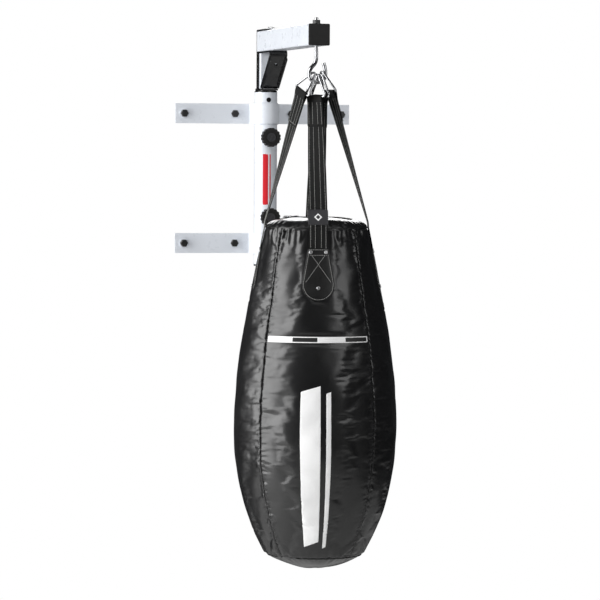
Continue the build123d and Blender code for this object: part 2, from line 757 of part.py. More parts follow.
rivet_places = ((-17.3, -168.0), (17.3, -168.0), (0.0, -251.0))
rivet_radius = 4.3
rivet_height = 1.8
rivet_crown = 1.4
with BuildPart() as patch_rivets:
    for angle in side_angles.values():
        for across, z in rivet_places:
            turn = degrees(across / bag_radius(z))
            slope = (bag_radius(z + 1) - bag_radius(z - 1)) / 2
            out = radial_plane(angle + turn).x_dir
            face = bag_centre + out * (bag_radius(z) + 0.45 + patch_thickness) + Vector(0, 0, z)
            with BuildSketch(Plane(origin=face, z_dir=out - Vector(0, 0, slope))):
                Circle(rivet_radius)
            extrude(amount=rivet_height)
    domes = patch_rivets.edges().filter_by(GeomType.CIRCLE)
    fillet([edge for edge in domes if (edge.center() - bag_centre).cross(Vector(0, 0, 1)).length
            > bag_radius(edge.center().Z) + 1.0 + patch_thickness], radius=rivet_crown)
save(patch_rivets, "patch_rivets")

label_top = -363.0
label_height = 19.0
label_half_turn = 43.0
with BuildPart() as label_strip:
    revolve(band(radial_plane(side_angles["front"] - label_half_turn), 0.3, 0.9, label_top,
                 label_top - label_height, 4), axis=bag_axis, revolution_arc=2 * label_half_turn)
save(label_strip, "label_strip")

zip_length = 170.0
zip_width = 14.0
with BuildPart() as closure_zip:
    with BuildSketch(radial_plane(0)):
        with BuildLine():
            dome(-0.3)
            dome(-2.0)
            Line((0, dome_top + 0.3), (0, dome_top + 2.0))
            Line((rim_radius + 0.3, seam_top), (rim_radius + 2.0, seam_top))
        make_face()
    revolve(axis=bag_axis)
    with BuildSketch(Plane(origin=bag_centre + Vector(0, 0, dome_top - 10), x_dir=bag_plane.x_dir,
                           z_dir=(0, 0, 1))):
        Rectangle(zip_length, zip_width)
    extrude(amount=20, mode=Mode.INTERSECT)
save(closure_zip, "closure_zip")
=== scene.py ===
import bpy
import math
import numpy as np
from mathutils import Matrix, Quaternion, Vector


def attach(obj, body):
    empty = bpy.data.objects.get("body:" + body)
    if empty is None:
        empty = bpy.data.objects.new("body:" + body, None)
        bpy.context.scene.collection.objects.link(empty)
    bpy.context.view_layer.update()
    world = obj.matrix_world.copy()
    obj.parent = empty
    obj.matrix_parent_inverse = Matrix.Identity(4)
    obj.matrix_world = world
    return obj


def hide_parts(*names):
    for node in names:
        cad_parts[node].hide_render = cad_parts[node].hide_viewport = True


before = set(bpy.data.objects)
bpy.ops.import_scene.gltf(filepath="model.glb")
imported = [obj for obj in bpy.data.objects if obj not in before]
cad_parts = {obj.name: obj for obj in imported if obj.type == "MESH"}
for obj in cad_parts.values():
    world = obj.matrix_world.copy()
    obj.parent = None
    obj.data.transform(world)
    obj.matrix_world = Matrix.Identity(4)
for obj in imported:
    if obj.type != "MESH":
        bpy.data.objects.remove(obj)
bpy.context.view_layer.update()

MM = 0.001

# ---- dimensions, as in the CAD (mm)
MAST_Y, HOOK_REACH = -33.5, 482.0
HANG_X = np.array([math.cos(math.radians(13)), -math.sin(math.radians(13)), 0.0])
HANG_Y = np.array([-HANG_X[1], HANG_X[0], 0.0])
UP = np.array([0.0, 0.0, 1.0])
HOOK_Y = MAST_Y - HOOK_REACH
HANG = np.array([0.0, HOOK_Y, 0.0])
BOWL_X, BOWL_Z, BOWL_RADIUS = 3.0, 250, 19.2  # the hook's bowl, along its wire
BAG = HANG + BOWL_X * HANG_X
SEAM_TOP, SEAM_BOTTOM, DOME_TOP, DISH_BOTTOM = -112.0, -889.0, -89.0, -922.0
BAG_CURVE = (121.4, 162.2, -18.1, -25.3, -128.3)
SIDES = {"front": -90.0, "left": 180.0, "back": 90.0, "right": 0.0}
RINGS = {"left": (-38.4, -47.7, 169.2, 33.5, 19.2), "front": (-7.7, -41.5, -127.8, 5.0, 18.0),
         "back": (23.0, -49.7, 79.8, 5.2, 17.0), "right": (45.8, -64.4, 28.5, 27.2, 19.8)}
RING_HEIGHT, RING_NOSE, RING_WIRE = 44.0, 8.6, 2.75
WEB_WIDTH = 44.0
BEND_OUT, BEND_Z = 124.3, -104.0  # where a strap bends over the bag's shoulder
PATCH_TOP, PATCH_ROUND_Z, PATCH_RADIUS, PATCH_HALF_TOP = -161.0, -244.0, 38.0, 24.0
TUBE_RADIUS = 28.5

# ---- dimensions of the looks (mm)
SEAM_GROOVE, STITCH_BESIDE_SEAM = 0.9, 4.6
PLY, PLY_OFFSET = 1.9, 1.05  # webbing thickness, and each ply from the strap's middle
LABEL_TOP, LABEL_LOW, LABEL_MIDDLE = -363.0, -378.4, -370.7
STITCH_LINES = (-17.8, -7.0, 7.0, 17.8)  # across a strap
CAMERA_AZIMUTH = -14.839


def unit(v):
    v = np.asarray(v, float)
    return v / np.maximum(np.linalg.norm(v, axis=-1, keepdims=True), 1e-12)


def bag_radius(z):
    t = (SEAM_TOP - np.asarray(z, float)) / (SEAM_TOP - SEAM_BOTTOM)
    return sum(c * t ** k for k, c in enumerate(BAG_CURVE))


def bag_out(angle):
    """Unit vectors away from the bag axis at these angles (degrees, in the bag's own frame)."""
    a = np.radians(np.asarray(angle, float))[..., None]
    return np.cos(a) * HANG_X + np.sin(a) * HANG_Y


def on_bag(angle, z, lift=0.0):
    """Points on the bag's side at angle (degrees) and height z, lifted off it along its normal."""
    angle, z, lift = np.broadcast_arrays(np.asarray(angle, float), z, lift)
    slope = (bag_radius(z + 1.0) - bag_radius(z - 1.0)) / 2.0
    out = bag_out(angle)
    normal = unit(out - slope[..., None] * UP)
    return BAG + out * bag_radius(z)[..., None] + z[..., None] * UP + normal * lift[..., None]


def bag_normal(angle, z):
    return unit(on_bag(angle, z, 1.0) - on_bag(angle, z, 0.0))


# ---- node materials
class Paint:
    """One procedural material: a principled shader with helpers for the nodes that feed it."""

    def __init__(self, name, colour, roughness, metallic=0.0, coat=0.0, coat_rough=0.1, sheen=0.0,
                 specular=0.5):
        self.material = bpy.data.materials.new(name)
        self.material.use_nodes = True
        self.nodes, self.links = self.material.node_tree.nodes, self.material.node_tree.links
        self.shader = self.nodes["Principled BSDF"]
        for key, value in (("Base Color", (*colour, 1.0)), ("Roughness", roughness), ("Metallic", metallic),
                           ("Coat Weight", coat), ("Coat Roughness", coat_rough), ("Sheen Weight", sheen),
                           ("Specular IOR Level", specular)):
            self.shader.inputs[key].default_value = value
        self.height = None

    def add(self, kind, links=(), **settings):
        node = self.nodes.new(kind)
        for key, value in settings.items():
            if key.startswith("in_"):
                node.inputs[key[3:].replace("_", " ")].default_value = value
            else:
                setattr(node, key, value)
        for socket, source in dict(links).items():
            self.links.new(source, node.inputs[socket])
        return node

    def where(self, kind="Object", scale=(1.0, 1.0, 1.0), turn=(0.0, 0.0, 0.0)):
        place = self.add("ShaderNodeTexCoord")
        mapped = self.add("ShaderNodeMapping", {"Vector": place.outputs[kind]})
        mapped.inputs["Scale"].default_value = scale
        mapped.inputs["Rotation"].default_value = turn
        return mapped.outputs["Vector"]

    def noise(self, scale, detail=4.0, rough=0.5, stretch=(1.0, 1.0, 1.0)):
        node = self.add("ShaderNodeTexNoise", {"Vector": self.where(scale=stretch)}, in_Scale=scale,
                        in_Detail=detail, in_Roughness=rough)
        return node.outputs["Fac"]

    def cells(self, scale):
        node = self.add("ShaderNodeTexVoronoi", {"Vector": self.where()}, feature="DISTANCE_TO_EDGE",
                        in_Scale=scale)
        return node.outputs["Distance"]

    def ramp(self, value, low, high, out_low=0.0, out_high=1.0):
        node = self.add("ShaderNodeMapRange", {"Value": value})
        for key, number in (("From Min", low), ("From Max", high), ("To Min", out_low), ("To Max", out_high)):
            node.inputs[key].default_value = number
        return node.outputs["Result"]

    def math(self, operation, a, b):
        node = self.add("ShaderNodeMath", operation=operation)
        for socket, value in zip(node.inputs, (a, b)):
            if isinstance(value, (int, float)):
                socket.default_value = value
            else:
                self.links.new(value, socket)
        return node.outputs[0]

    def blend(self, share, low, high):
        node = self.add("ShaderNodeMix", data_type="RGBA")
        for index, value in ((0, share), (6, low), (7, high)):
            if isinstance(value, tuple):
                node.inputs[index].default_value = (*value, 1.0)
            else:
                self.links.new(value, node.inputs[index])
        return node.outputs[2]

    def tint(self, socket):
        self.links.new(socket, self.shader.inputs["Base Color"])

    def rough(self, socket):
        self.links.new(socket, self.shader.inputs["Roughness"])

    def bump(self, height, depth, strength=1.0):
        node = self.add("ShaderNodeBump", {"Height": height}, in_Strength=strength, in_Distance=depth)
        if self.height is not None:
            self.links.new(self.height, node.inputs["Normal"])
        self.height = node.outputs["Normal"]
        self.links.new(self.height, self.shader.inputs["Normal"])

    def worn(self, colour, edge, low=0.52, high=0.62):
        """Colour with edges that wear to another colour."""
        point = self.add("ShaderNodeNewGeometry").outputs["Pointiness"]
        return self.blend(self.ramp(point, low, high), colour, edge)


def powder(name, colour, dull, roughness, coat, specular=0.5):
    p = Paint(name, colour, roughness, coat=coat, coat_rough=0.12, specular=specular)
    p.tint(p.blend(p.ramp(p.noise(9.0, 3.0), 0.35, 0.7), colour, dull))
    p.rough(p.ramp(p.noise(60.0, 4.0), 0.3, 0.7, roughness - 0.05, roughness + 0.08))
    return p.material


def plain_metal(name, colour, roughness, streak, edge, metallic=1.0):
    p = Paint(name, colour, roughness, metallic=metallic)
    dark = tuple(0.72 * c for c in colour)
    p.tint(p.worn(p.blend(p.ramp(p.noise(38.0, 5.0, 0.6), 0.35, 0.75), colour, dark), edge))
    p.rough(p.ramp(p.noise(110.0, 5.0, stretch=(1.0, 1.0, streak)), 0.3, 0.7,
                   max(roughness - 0.06, 0.02), roughness + 0.1))
    p.bump(p.noise(420.0, 3.0, stretch=(1.0, 1.0, streak)), 0.00003, 0.2)
    return p.material


def moulded(name, colour, roughness, grain):
    p = Paint(name, colour, roughness, specular=0.32)
    pale = tuple(min(1.0, 1.5 * c + 0.004) for c in colour)
    p.tint(p.worn(p.blend(p.ramp(p.noise(25.0), 0.3, 0.8), colour, tuple(1.15 * c for c in colour)), pale))
    p.rough(p.ramp(p.noise(90.0, 3.0), 0.3, 0.7, roughness - 0.05, roughness + 0.07))
    p.bump(p.cells(grain), 0.00006, 0.35)
    return p.material


def vinyl(name, roughness, colour=(0.004, 0.004, 0.0042)):
    p = Paint(name, colour, roughness, coat=0.25, coat_rough=0.19, specular=0.55)
    cloud = p.ramp(p.noise(5.0, 4.0, 0.6), 0.3, 0.75)
    p.tint(p.blend(cloud, colour, tuple(1.9 * c for c in colour)))
    p.rough(p.ramp(p.noise(14.0, 5.0, 0.6), 0.3, 0.75, roughness - 0.05, roughness + 0.09))
    p.bump(p.noise(46.0, 3.0, 0.55), 0.0007, 0.16)
    p.bump(p.cells(900.0), 0.00012, 0.22)
    return p.material


def woven(name, colour, pale, pitch):
    """Nylon webbing: fine ribs along it, crossed by staggered weft picks."""
    p = Paint(name, colour, 0.7, sheen=0.03, specular=0.25)
    along = p.add("ShaderNodeTexWave", {"Vector": p.where("UV")}, wave_type="BANDS", bands_direction="X",
                  in_Scale=1.0 / (pitch * 3.2), in_Distortion=0.4, in_Detail=1.0).outputs["Fac"]
    across = p.add("ShaderNodeTexWave", {"Vector": p.where("UV", turn=(0.0, 0.0, 0.5))},
                   wave_type="BANDS", bands_direction="Y", in_Scale=1.0 / (pitch * 2.2),
                   in_Distortion=0.6, in_Detail=1.0).outputs["Fac"]
    weave = p.math("MULTIPLY", along, across)
    fuzz = p.noise(260.0, 4.0)
    p.tint(p.blend(p.math("MULTIPLY", p.ramp(weave, 0.0, 1.0), p.ramp(fuzz, 0.2, 0.8)), colour, pale))
    p.bump(weave, 0.00035, 0.8)
    p.bump(fuzz, 0.0001, 0.4)
    return p.material


def leather(name, colour, roughness):
    p = Paint(name, colour, roughness, specular=0.35, coat=0.08, coat_rough=0.3)
    p.tint(p.blend(p.ramp(p.noise(45.0, 5.0), 0.3, 0.8), colour, tuple(1.9 * c for c in colour)))
    p.rough(p.ramp(p.noise(80.0, 4.0), 0.3, 0.7, roughness - 0.06, roughness + 0.1))
    p.bump(p.cells(520.0), 0.0002, 0.5)
    p.bump(p.noise(150.0, 4.0), 0.0003, 0.25)
    return p.material


def thread(name, colour, roughness=0.6):
    p = Paint(name, colour, roughness, sheen=0.3)
    p.tint(p.blend(p.ramp(p.noise(700.0, 2.0), 0.3, 0.8), tuple(0.72 * c for c in colour), colour))
    p.bump(p.noise(1800.0, 2.0, stretch=(1.0, 1.0, 3.0)), 0.0001, 0.5)
    return p.material


MAT = {
    "white_paint": powder("white_powder_coat", (0.79, 0.825, 0.88), (0.75, 0.785, 0.84), 0.3, 0.25),
    "black_paint": powder("black_gloss_paint", (0.004, 0.004, 0.0045), (0.008, 0.008, 0.009), 0.22, 0.25,
                          0.35),
    "black_oxide": plain_metal("black_oxide_steel", (0.018, 0.018, 0.019), 0.42, 1.0, (0.07, 0.07, 0.07)),
    "zinc": plain_metal("zinc_plate", (0.62, 0.63, 0.65), 0.26, 3.0, (0.8, 0.8, 0.8)),
    "chrome": plain_metal("bright_chrome", (0.52, 0.525, 0.54), 0.17, 6.0, (0.62, 0.62, 0.63)),
    "rivet": plain_metal("rivet_nickel", (0.8, 0.8, 0.81), 0.34, 1.0, (0.9, 0.9, 0.9)),
    "brass": plain_metal("pad_brass", (0.6, 0.42, 0.16), 0.32, 1.0, (0.75, 0.55, 0.25)),
    "plastic": moulded("black_moulded_plastic", (0.008, 0.0075, 0.0075), 0.45, 1500.0),
    "bushing": moulded("bushing_nylon", (0.035, 0.035, 0.036), 0.5, 1200.0),
    "rubber": moulded("badge_rubber", (0.035, 0.035, 0.038), 0.55, 1100.0),
    "vinyl": vinyl("glossy_vinyl", 0.35),
    "vinyl_end": vinyl("panel_vinyl", 0.36),
    "welt": vinyl("welt_vinyl", 0.4),
    "webbing": woven("nylon_webbing", (0.003, 0.0032, 0.003), (0.014, 0.0145, 0.014), 0.0011),
    "leather": leather("patch_leather", (0.006, 0.006, 0.006), 0.45),
    "white_thread": thread("white_thread", (0.62, 0.62, 0.6)),
    "black_thread": thread("black_thread", (0.02, 0.02, 0.022), 0.5),
    "zip_tape": woven("zip_tape_weave", (0.012, 0.012, 0.012), (0.05, 0.05, 0.05), 0.0006),
    "white_print": moulded("white_print", (0.92, 0.92, 0.92), 0.42, 1300.0),
    "red_print": moulded("red_print", (0.62, 0.02, 0.03), 0.4, 1300.0),
    "black_print": moulded("black_print", (0.02, 0.02, 0.02), 0.45, 1300.0),
    "foam": moulded("liner_foam", (0.32, 0.31, 0.27), 0.85, 420.0),
    "fill": leather("shredded_fill", (0.16, 0.15, 0.15), 0.9),
}

# Which CAD nodes have each finish.
FINISH_NODES = {
    "white_paint": ("wall_strap_upper", "wall_strap_lower", "receiver_tube", "weld_nut_upper",
        "weld_nut_lower", "arm_tube", "mast_tube", "lag_washers", "head_post"),
    "black_paint": ("mast_collar", "hub_plate", "back_channel", "brace"),
    "black_oxide": ("lag_bolts", "guide_screw", "hook_washer", "hook_nut"),
    "zinc": ("swivel_stem", "head_bolt", "head_nut", "shelf_bolt", "shelf_nut", "knob_stud_upper",
        "knob_stud_lower"),
    "bushing": ("lower_guide_bushing", "upper_guide_bushing"),
    "plastic": ("receiver_bottom_cap", "arm_end_cap", "lock_knob_upper", "lock_knob_lower"),
    "chrome": ("hook", "ring_front", "ring_left", "ring_back", "ring_right"),
    "rivet": ("patch_rivets",),
    "foam": ("foam_liner",),
    "fill": ("fill_core",),
    "brass": ("clamp_pad_upper", "clamp_pad_lower"),
    "rubber": ("knob_insert_upper", "knob_insert_lower"),
}
for finish, nodes in FINISH_NODES.items():
    for node in nodes:
        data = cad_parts[node].data
        data.materials.clear()
        data.materials.append(MAT[finish])


# ---- mesh helpers (mm in, metres out)
def placed(name, data):
    obj = bpy.data.objects.new(name, data)
    bpy.context.scene.collection.objects.link(obj)
    return obj


def distance_along(points):
    return np.concatenate([[0], np.cumsum(np.linalg.norm(np.diff(points, axis=0), axis=1))])


def between(d, gone, values):
    """Rows of values at the distances d, where gone has the distance of each row."""
    return np.stack([np.interp(d, gone, values[:, i]) for i in range(3)], -1)


def fan(first, count, centre):
    """Triangles from a closed loop of count points, the first one given, to a centre point."""
    return [[first + i, first + (i + 1) % count, centre] for i in range(count)]


def piece(name, points, faces, finish, body, slot=None, smooth=True, replaces=(), uv=None):
    mesh = bpy.data.meshes.new(name)
    mesh.from_pydata((np.asarray(points, float).reshape(-1, 3) * MM).tolist(), [], faces)
    mesh.validate()
    mesh.update()
    if smooth:
        mesh.polygons.foreach_set("use_smooth", [True] * len(mesh.polygons))
    if uv is not None:
        layer = mesh.uv_layers.new(name="UVMap")
        corners = np.zeros(len(mesh.loops), int)
        mesh.loops.foreach_get("vertex_index", corners)
        layer.data.foreach_set("uv", np.asarray(uv, float).reshape(-1, 2)[corners].ravel())
    obj = placed(name, mesh)
    mesh.materials.append(MAT[finish])
    if body:
        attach(obj, body)
    if replaces:
        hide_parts(*replaces)
    return obj


def grid_faces(rows, cols, wrap=False, start=0, flip=False):
    """Quads over a rows x cols grid of points; wrap joins the last column to the first."""
    r, c = np.meshgrid(np.arange(rows - 1), np.arange(cols if wrap else cols - 1), indexing="ij")
    n = (c + 1) % cols
    quads = np.stack([r * cols + c, r * cols + n, (r + 1) * cols + n, (r + 1) * cols + c], -1).reshape(-1, 4)
    if flip:
        quads = quads[:, ::-1]
    return (quads + start).tolist()


def tube_mesh(path, radius, sides=10, closed=False):
    """Round section along a path of points (rows x 3); open ends are closed with flat caps."""
    path = np.asarray(path, float)
    ahead = unit(np.gradient(path, axis=0)) if not closed else unit(np.roll(path, -1, 0) - np.roll(path, 1, 0))
    side_way = np.zeros_like(path)
    last = unit(np.cross(ahead[0], [0.3, 0.2, 0.93]))
    for i, way in enumerate(ahead):
        last = unit(last - way * np.dot(last, way))
        side_way[i] = last
    other = np.cross(ahead, side_way)
    turn = np.linspace(0, 2 * math.pi, sides, endpoint=False)
    radius = np.broadcast_to(radius, len(path))[:, None, None]
    rings = path[:, None] + radius * (np.cos(turn)[None, :, None] * side_way[:, None]
                                      + np.sin(turn)[None, :, None] * other[:, None])
    if closed:
        rows, cols = len(path), sides
        faces = grid_faces(rows + 1, cols, wrap=True)
        faces = [[i % (rows * cols) for i in face] for face in faces]
        return rings.reshape(-1, 3), faces
    faces = grid_faces(len(path), sides, wrap=True)
    faces.append(list(range(sides))[::-1])
    faces.append([(len(path) - 1) * sides + i for i in range(sides)])
    return rings.reshape(-1, 3), faces


def stitch_mesh(path, normals, pitch=4.2, length=3.0, width=0.42, sink=0.08):
    """A row of thread stitches laid along a path on a surface with these normals."""
    path, normals = np.asarray(path, float), unit(normals)
    gone = distance_along(path)
    count = int((gone[-1] - length) // pitch) + 1
    points, faces = [], []
    profile = ((-0.5, 0.25), (-0.36, 0.85), (0.0, 1.0), (0.36, 0.85), (0.5, 0.25))
    for k in range(max(count, 0)):
        middle = length / 2 + 0.3 + k * pitch
        centre = between(middle, gone, path)
        way = unit(between(middle + 0.6, gone, path) - between(middle - 0.6, gone, path))
        up = unit(between(middle, gone, normals))
        across = np.cross(up, way)
        start = len(points)
        for along, size in profile:
            for turn in range(6):
                a = turn * math.pi / 3
                points.append(centre + way * along * length + size * width * (
                    math.cos(a) * across + math.sin(a) * up) + up * (sink + 0.25 * width * (size - 0.5)))
        faces += grid_faces(5, 6, wrap=True, start=start)
        faces.append([start + i for i in range(6)][::-1])
        faces.append([start + 24 + i for i in range(6)])
    return points, faces


def joined(parts):
    points, faces = [], []
    for more_points, more_faces in parts:
        faces += [[i + len(points) for i in face] for face in more_faces]
        points += list(more_points)
    return points, faces


# ---- the bag's sewn skin
GORE_COLS, ROWS = 60, 321
SEAM_ANGLES = [-135.0, -45.0, 45.0, 135.0]  # gores run from each of these to the next
GORE_OF = {"front": 0, "right": 1, "back": 2, "left": 3}


def gore_share(count):
    """Column places across a gore, closer together beside its seams."""
    u = np.linspace(0, 1, count + 1)
    return u - 0.45 / (2 * math.pi) * np.sin(2 * math.pi * u)


angles = np.concatenate([start + 90.0 * gore_share(GORE_COLS)[:-1] for start in SEAM_ANGLES])
row_share = np.linspace(0, 1, ROWS)
row_share = row_share - 0.3 / (2 * math.pi) * np.sin(2 * math.pi * row_share)
heights = SEAM_TOP + (SEAM_BOTTOM - SEAM_TOP) * row_share
SIM_STEP, SIM_FRAMES = 2, 26  # the simulation uses every other row
ANGLE, HEIGHT = np.meshgrid(angles, heights)
rest = on_bag(ANGLE, HEIGHT)
normal = bag_normal(ANGLE, HEIGHT)
arc = bag_radius(HEIGHT) * np.radians(1.0)  # mm per degree


def turn_from(centre):
    """Degrees to every point of the skin from this place round the bag, between -180 and 180."""
    return (ANGLE - centre + 180) % 360 - 180


def seam_gap(angle):
    """Degrees from the nearest gore seam, and which side of it."""
    return (np.asarray(angle) + 45.0 + 45.0) % 90.0 - 45.0


def sewn_skin():
    """Cloth simulation of the skin: it is held at its seams, grows a little, and is pushed out by the
    filling, so that it puckers where the thread holds it short. Returns how far each point moved."""
    cols, rows = len(angles), len(rest[::SIM_STEP])
    points = rest[::SIM_STEP].reshape(-1, 3) * MM
    mesh = bpy.data.meshes.new("skin_sim")
    mesh.from_pydata(points.tolist(), [], grid_faces(rows, cols, wrap=True, flip=True))
    mesh.update()
    obj = placed("skin_sim", mesh)
    held = np.zeros((rows, cols), bool)
    held[:, ::GORE_COLS] = True
    held[0], held[-1] = True, True
    group = obj.vertex_groups.new(name="held")
    group.add(np.flatnonzero(held.ravel()).tolist(), 1.0, "REPLACE")
    cloth = obj.modifiers.new("Cloth", "CLOTH")
    s = cloth.settings
    s.quality = 5
    s.mass = 0.35
    s.air_damping = 4.0
    s.tension_stiffness, s.compression_stiffness, s.shear_stiffness = 18.0, 18.0, 6.0
    s.bending_stiffness = 0.12
    s.bending_damping = 0.5
    s.shrink_min = -0.035
    s.use_pressure = True
    s.uniform_pressure_force = 2.5
    s.vertex_group_mass = "held"
    s.effector_weights.gravity = 0.0
    cloth.collision_settings.use_collision = False
    scene = bpy.context.scene
    cloth.point_cache.frame_start, cloth.point_cache.frame_end = 1, SIM_FRAMES
    for step in range(1, SIM_FRAMES + 1):
        scene.frame_set(step)
    evaluated = obj.evaluated_get(bpy.context.evaluated_depsgraph_get())
    moved = np.zeros(len(points) * 3)
    evaluated.data.vertices.foreach_get("co", moved)
    scene.frame_set(1)
    bpy.data.objects.remove(obj)
    coarse = (moved.reshape(-1, 3) - points).reshape(rows, cols, 3) / MM
    fine = np.repeat(coarse, SIM_STEP, axis=0)[:ROWS]
    fine[1:-1:2] = (coarse[:-1] + coarse[1:]) / 2
    return fine


settled = sewn_skin()
outward = np.sum(settled * normal, -1)
sideways = settled - outward[..., None] * normal


def smooth_noise(angle, z, lobes, seed, wave_z):
    """Seeded sum of waves round the bag and down it, between about -1 and 1."""
    draw = np.random.default_rng(seed)
    total = 0.0
    for _ in range(6):
        k = draw.integers(lobes[0], lobes[1])
        total = total + math.sqrt(1 / 6) * np.sin(np.radians(angle) * k + draw.uniform(0, 6.3)
                                                  + z / wave_z * draw.uniform(-1, 1) * 6.3)
    return total


def puckers(seed, spacing, reach, depth):
    """Short folds that run out from each gore seam."""
    draw = np.random.default_rng(seed)
    total = np.zeros_like(ANGLE)
    gap = seam_gap(ANGLE) * arc
    for seam in SEAM_ANGLES:
        near = np.abs(turn_from(seam)) < 44
        for hand in (-1, 1):
            z = SEAM_TOP - 14.0
            while z > SEAM_BOTTOM + 10:
                share = (SEAM_TOP - z) / (SEAM_TOP - SEAM_BOTTOM)
                strength = (0.35 + 0.65 * math.exp(-((share - 0.32) / 0.33) ** 2)) * draw.uniform(0.35, 1.25)
                length = reach * draw.uniform(0.6, 1.5)
                slant = draw.uniform(-0.25, 0.55)
                half = spacing * draw.uniform(0.2, 0.32)
                along = gap * hand
                ridge = np.exp(-((HEIGHT - z + slant * along) / half) ** 2)
                fade = np.exp(-(along / length) ** 2) * (along > -1.0)
                total += np.where(near, -depth * strength * ridge * fade, 0.0)
                z -= spacing * draw.uniform(0.65, 1.4)
    return total


def fold(angle, z, length, tilt, half, depth):
    """One longer fold: its middle, its length and slope (degrees from level), half width and depth in mm."""
    across = turn_from(angle) * arc
    up = HEIGHT - z
    t = math.radians(tilt)
    along = across * math.cos(t) + up * math.sin(t)
    aside = up * math.cos(t) - across * math.sin(t)
    return -depth * np.exp(-(aside / half) ** 2) * np.exp(-(along / length) ** 2) \
        + 0.6 * depth * np.exp(-((aside - 1.9 * half) / (1.3 * half)) ** 2) * np.exp(-(along / length) ** 2)


def strap_patch_mask():
    """0 where a strap, patch or label lies on the skin, 1 well away from them."""
    mask = np.ones_like(ANGLE)
    for centre in SIDES.values():
        across = np.abs(turn_from(centre)) * arc
        patch_half = np.interp(-HEIGHT, (161, 220, 244, 282), (26, 37, 38, 10))
        width = np.where(HEIGHT > PATCH_TOP, 24.0, patch_half)
        beside = np.clip((across - width) / 9.0, 0, 1)
        below = np.clip((PATCH_ROUND_Z - PATCH_RADIUS - HEIGHT) / 9.0, 0, 1)
        mask = np.minimum(mask, np.maximum(beside, below))
    return mask


mask = strap_patch_mask()
across_front = np.abs(turn_from(SIDES["front"]))
print_mask = np.clip(np.maximum((np.abs(HEIGHT - LABEL_MIDDLE) - 10) / 8.0, (across_front - 43.5) / 1.5), 0, 1)
from_top, from_bottom = SEAM_TOP - HEIGHT, HEIGHT - SEAM_BOTTOM
lift = np.clip(outward, -3.5, 5.5) * 0.6
lift += puckers(11, 11.0, 17.0, 1.5)
lift += puckers(12, 7.5, 11.0, 1.3)
lift += puckers(13, 26.0, 32.0, 1.3)
lift += puckers(14, 9.0, 30.0, 0.55)
lift += 2.3 * smooth_noise(ANGLE, HEIGHT, (26, 52), 21, 260.0) * np.exp(-(from_top / 22.0) ** 1.3)
lift += 1.0 * smooth_noise(ANGLE, HEIGHT, (9, 24), 22, 400.0) * np.exp(-(from_top / 60.0) ** 1.3)
lift += 1.1 * smooth_noise(ANGLE, HEIGHT, (20, 44), 23, 300.0) * np.exp(-(from_bottom / 14.0) ** 1.3)
lift += 0.7 * smooth_noise(ANGLE, HEIGHT, (3, 11), 24, 140.0)
lift += 0.35 * smooth_noise(ANGLE, HEIGHT, (10, 26), 25, 60.0)
# Longer folds: place round the bag, height, length, slope, half width and depth.
for numbers in ((-52, -338, 34, 16, 6, 2.6), (-56, -378, 26, 8, 5, 2.2), (-50, -470, 40, 24, 7, 2.4),
                (-127, -545, 44, -14, 8, 2.6), (-124, -300, 26, -10, 6, 1.8), (-48, -600, 34, 12, 7, 1.5),
                (-128, -420, 30, -6, 6, 1.6), (120, -390, 36, 14, 7, 2.2), (60, -480, 34, -12, 7, 2.0),
                (30, -350, 26, -18, 6, 1.6), (150, -640, 34, 10, 7, 1.5),
                (-107, -140, 16, 62, 4.5, 2.4), (-113, -146, 18, 75, 4.5, 2.0), (-70, -140, 15, -64, 4.5, 1.8)):
    lift += fold(*numbers)
edge = np.abs(seam_gap(ANGLE)) * arc
lift = lift * mask * print_mask
lift -= SEAM_GROOVE * np.exp(-(edge / 2.0) ** 2)
rim_fade = np.clip(np.minimum(from_top, from_bottom) / 6.0, 0, 1)
lift = np.where(rim_fade < 1, np.clip(lift, -2.0, 1.2) * rim_fade + (1 - rim_fade) * -0.8, lift)
for centre in SIDES.values():
    across = np.abs(turn_from(centre)) * arc
    press = np.clip(1 - (across - 22.0) / 8.0, 0, 1) * np.clip((HEIGHT + 162.0) / 12.0 + 1.0, 0, 1)
    lift -= 1.6 * press * np.exp(-(from_top / 26.0) ** 2)
skin = rest + normal * lift[..., None] + sideways * (mask * print_mask)[..., None] * 0.5

for side, index in GORE_OF.items():
    first = index * GORE_COLS
    columns = [(first + i) % len(angles) for i in range(GORE_COLS + 1)]
    body_points = skin[:, columns]
    inward = -normal[:, columns]
    left_edge = body_points[:, :1] + inward[:, :1] * 5.0
    right_edge = body_points[:, -1:] + inward[:, -1:] * 5.0
    panel = np.concatenate([left_edge, body_points, right_edge], axis=1)
    top_turn = panel[:1] + np.array([0, 0, -3.0]) + unit(BAG * [1, 1, 0] - panel[:1] * [1, 1, 0]) * 6.0
    low_turn = panel[-1:] + np.array([0, 0, 3.0]) + unit(BAG * [1, 1, 0] - panel[-1:] * [1, 1, 0]) * 6.0
    panel = np.concatenate([top_turn, panel, low_turn], axis=0)
    gore = piece(f"gore_skin_{side}", panel, grid_faces(*panel.shape[:2], flip=True), "vinyl", "bag",
                 "vinyl", replaces=(f"gore_{side}",))


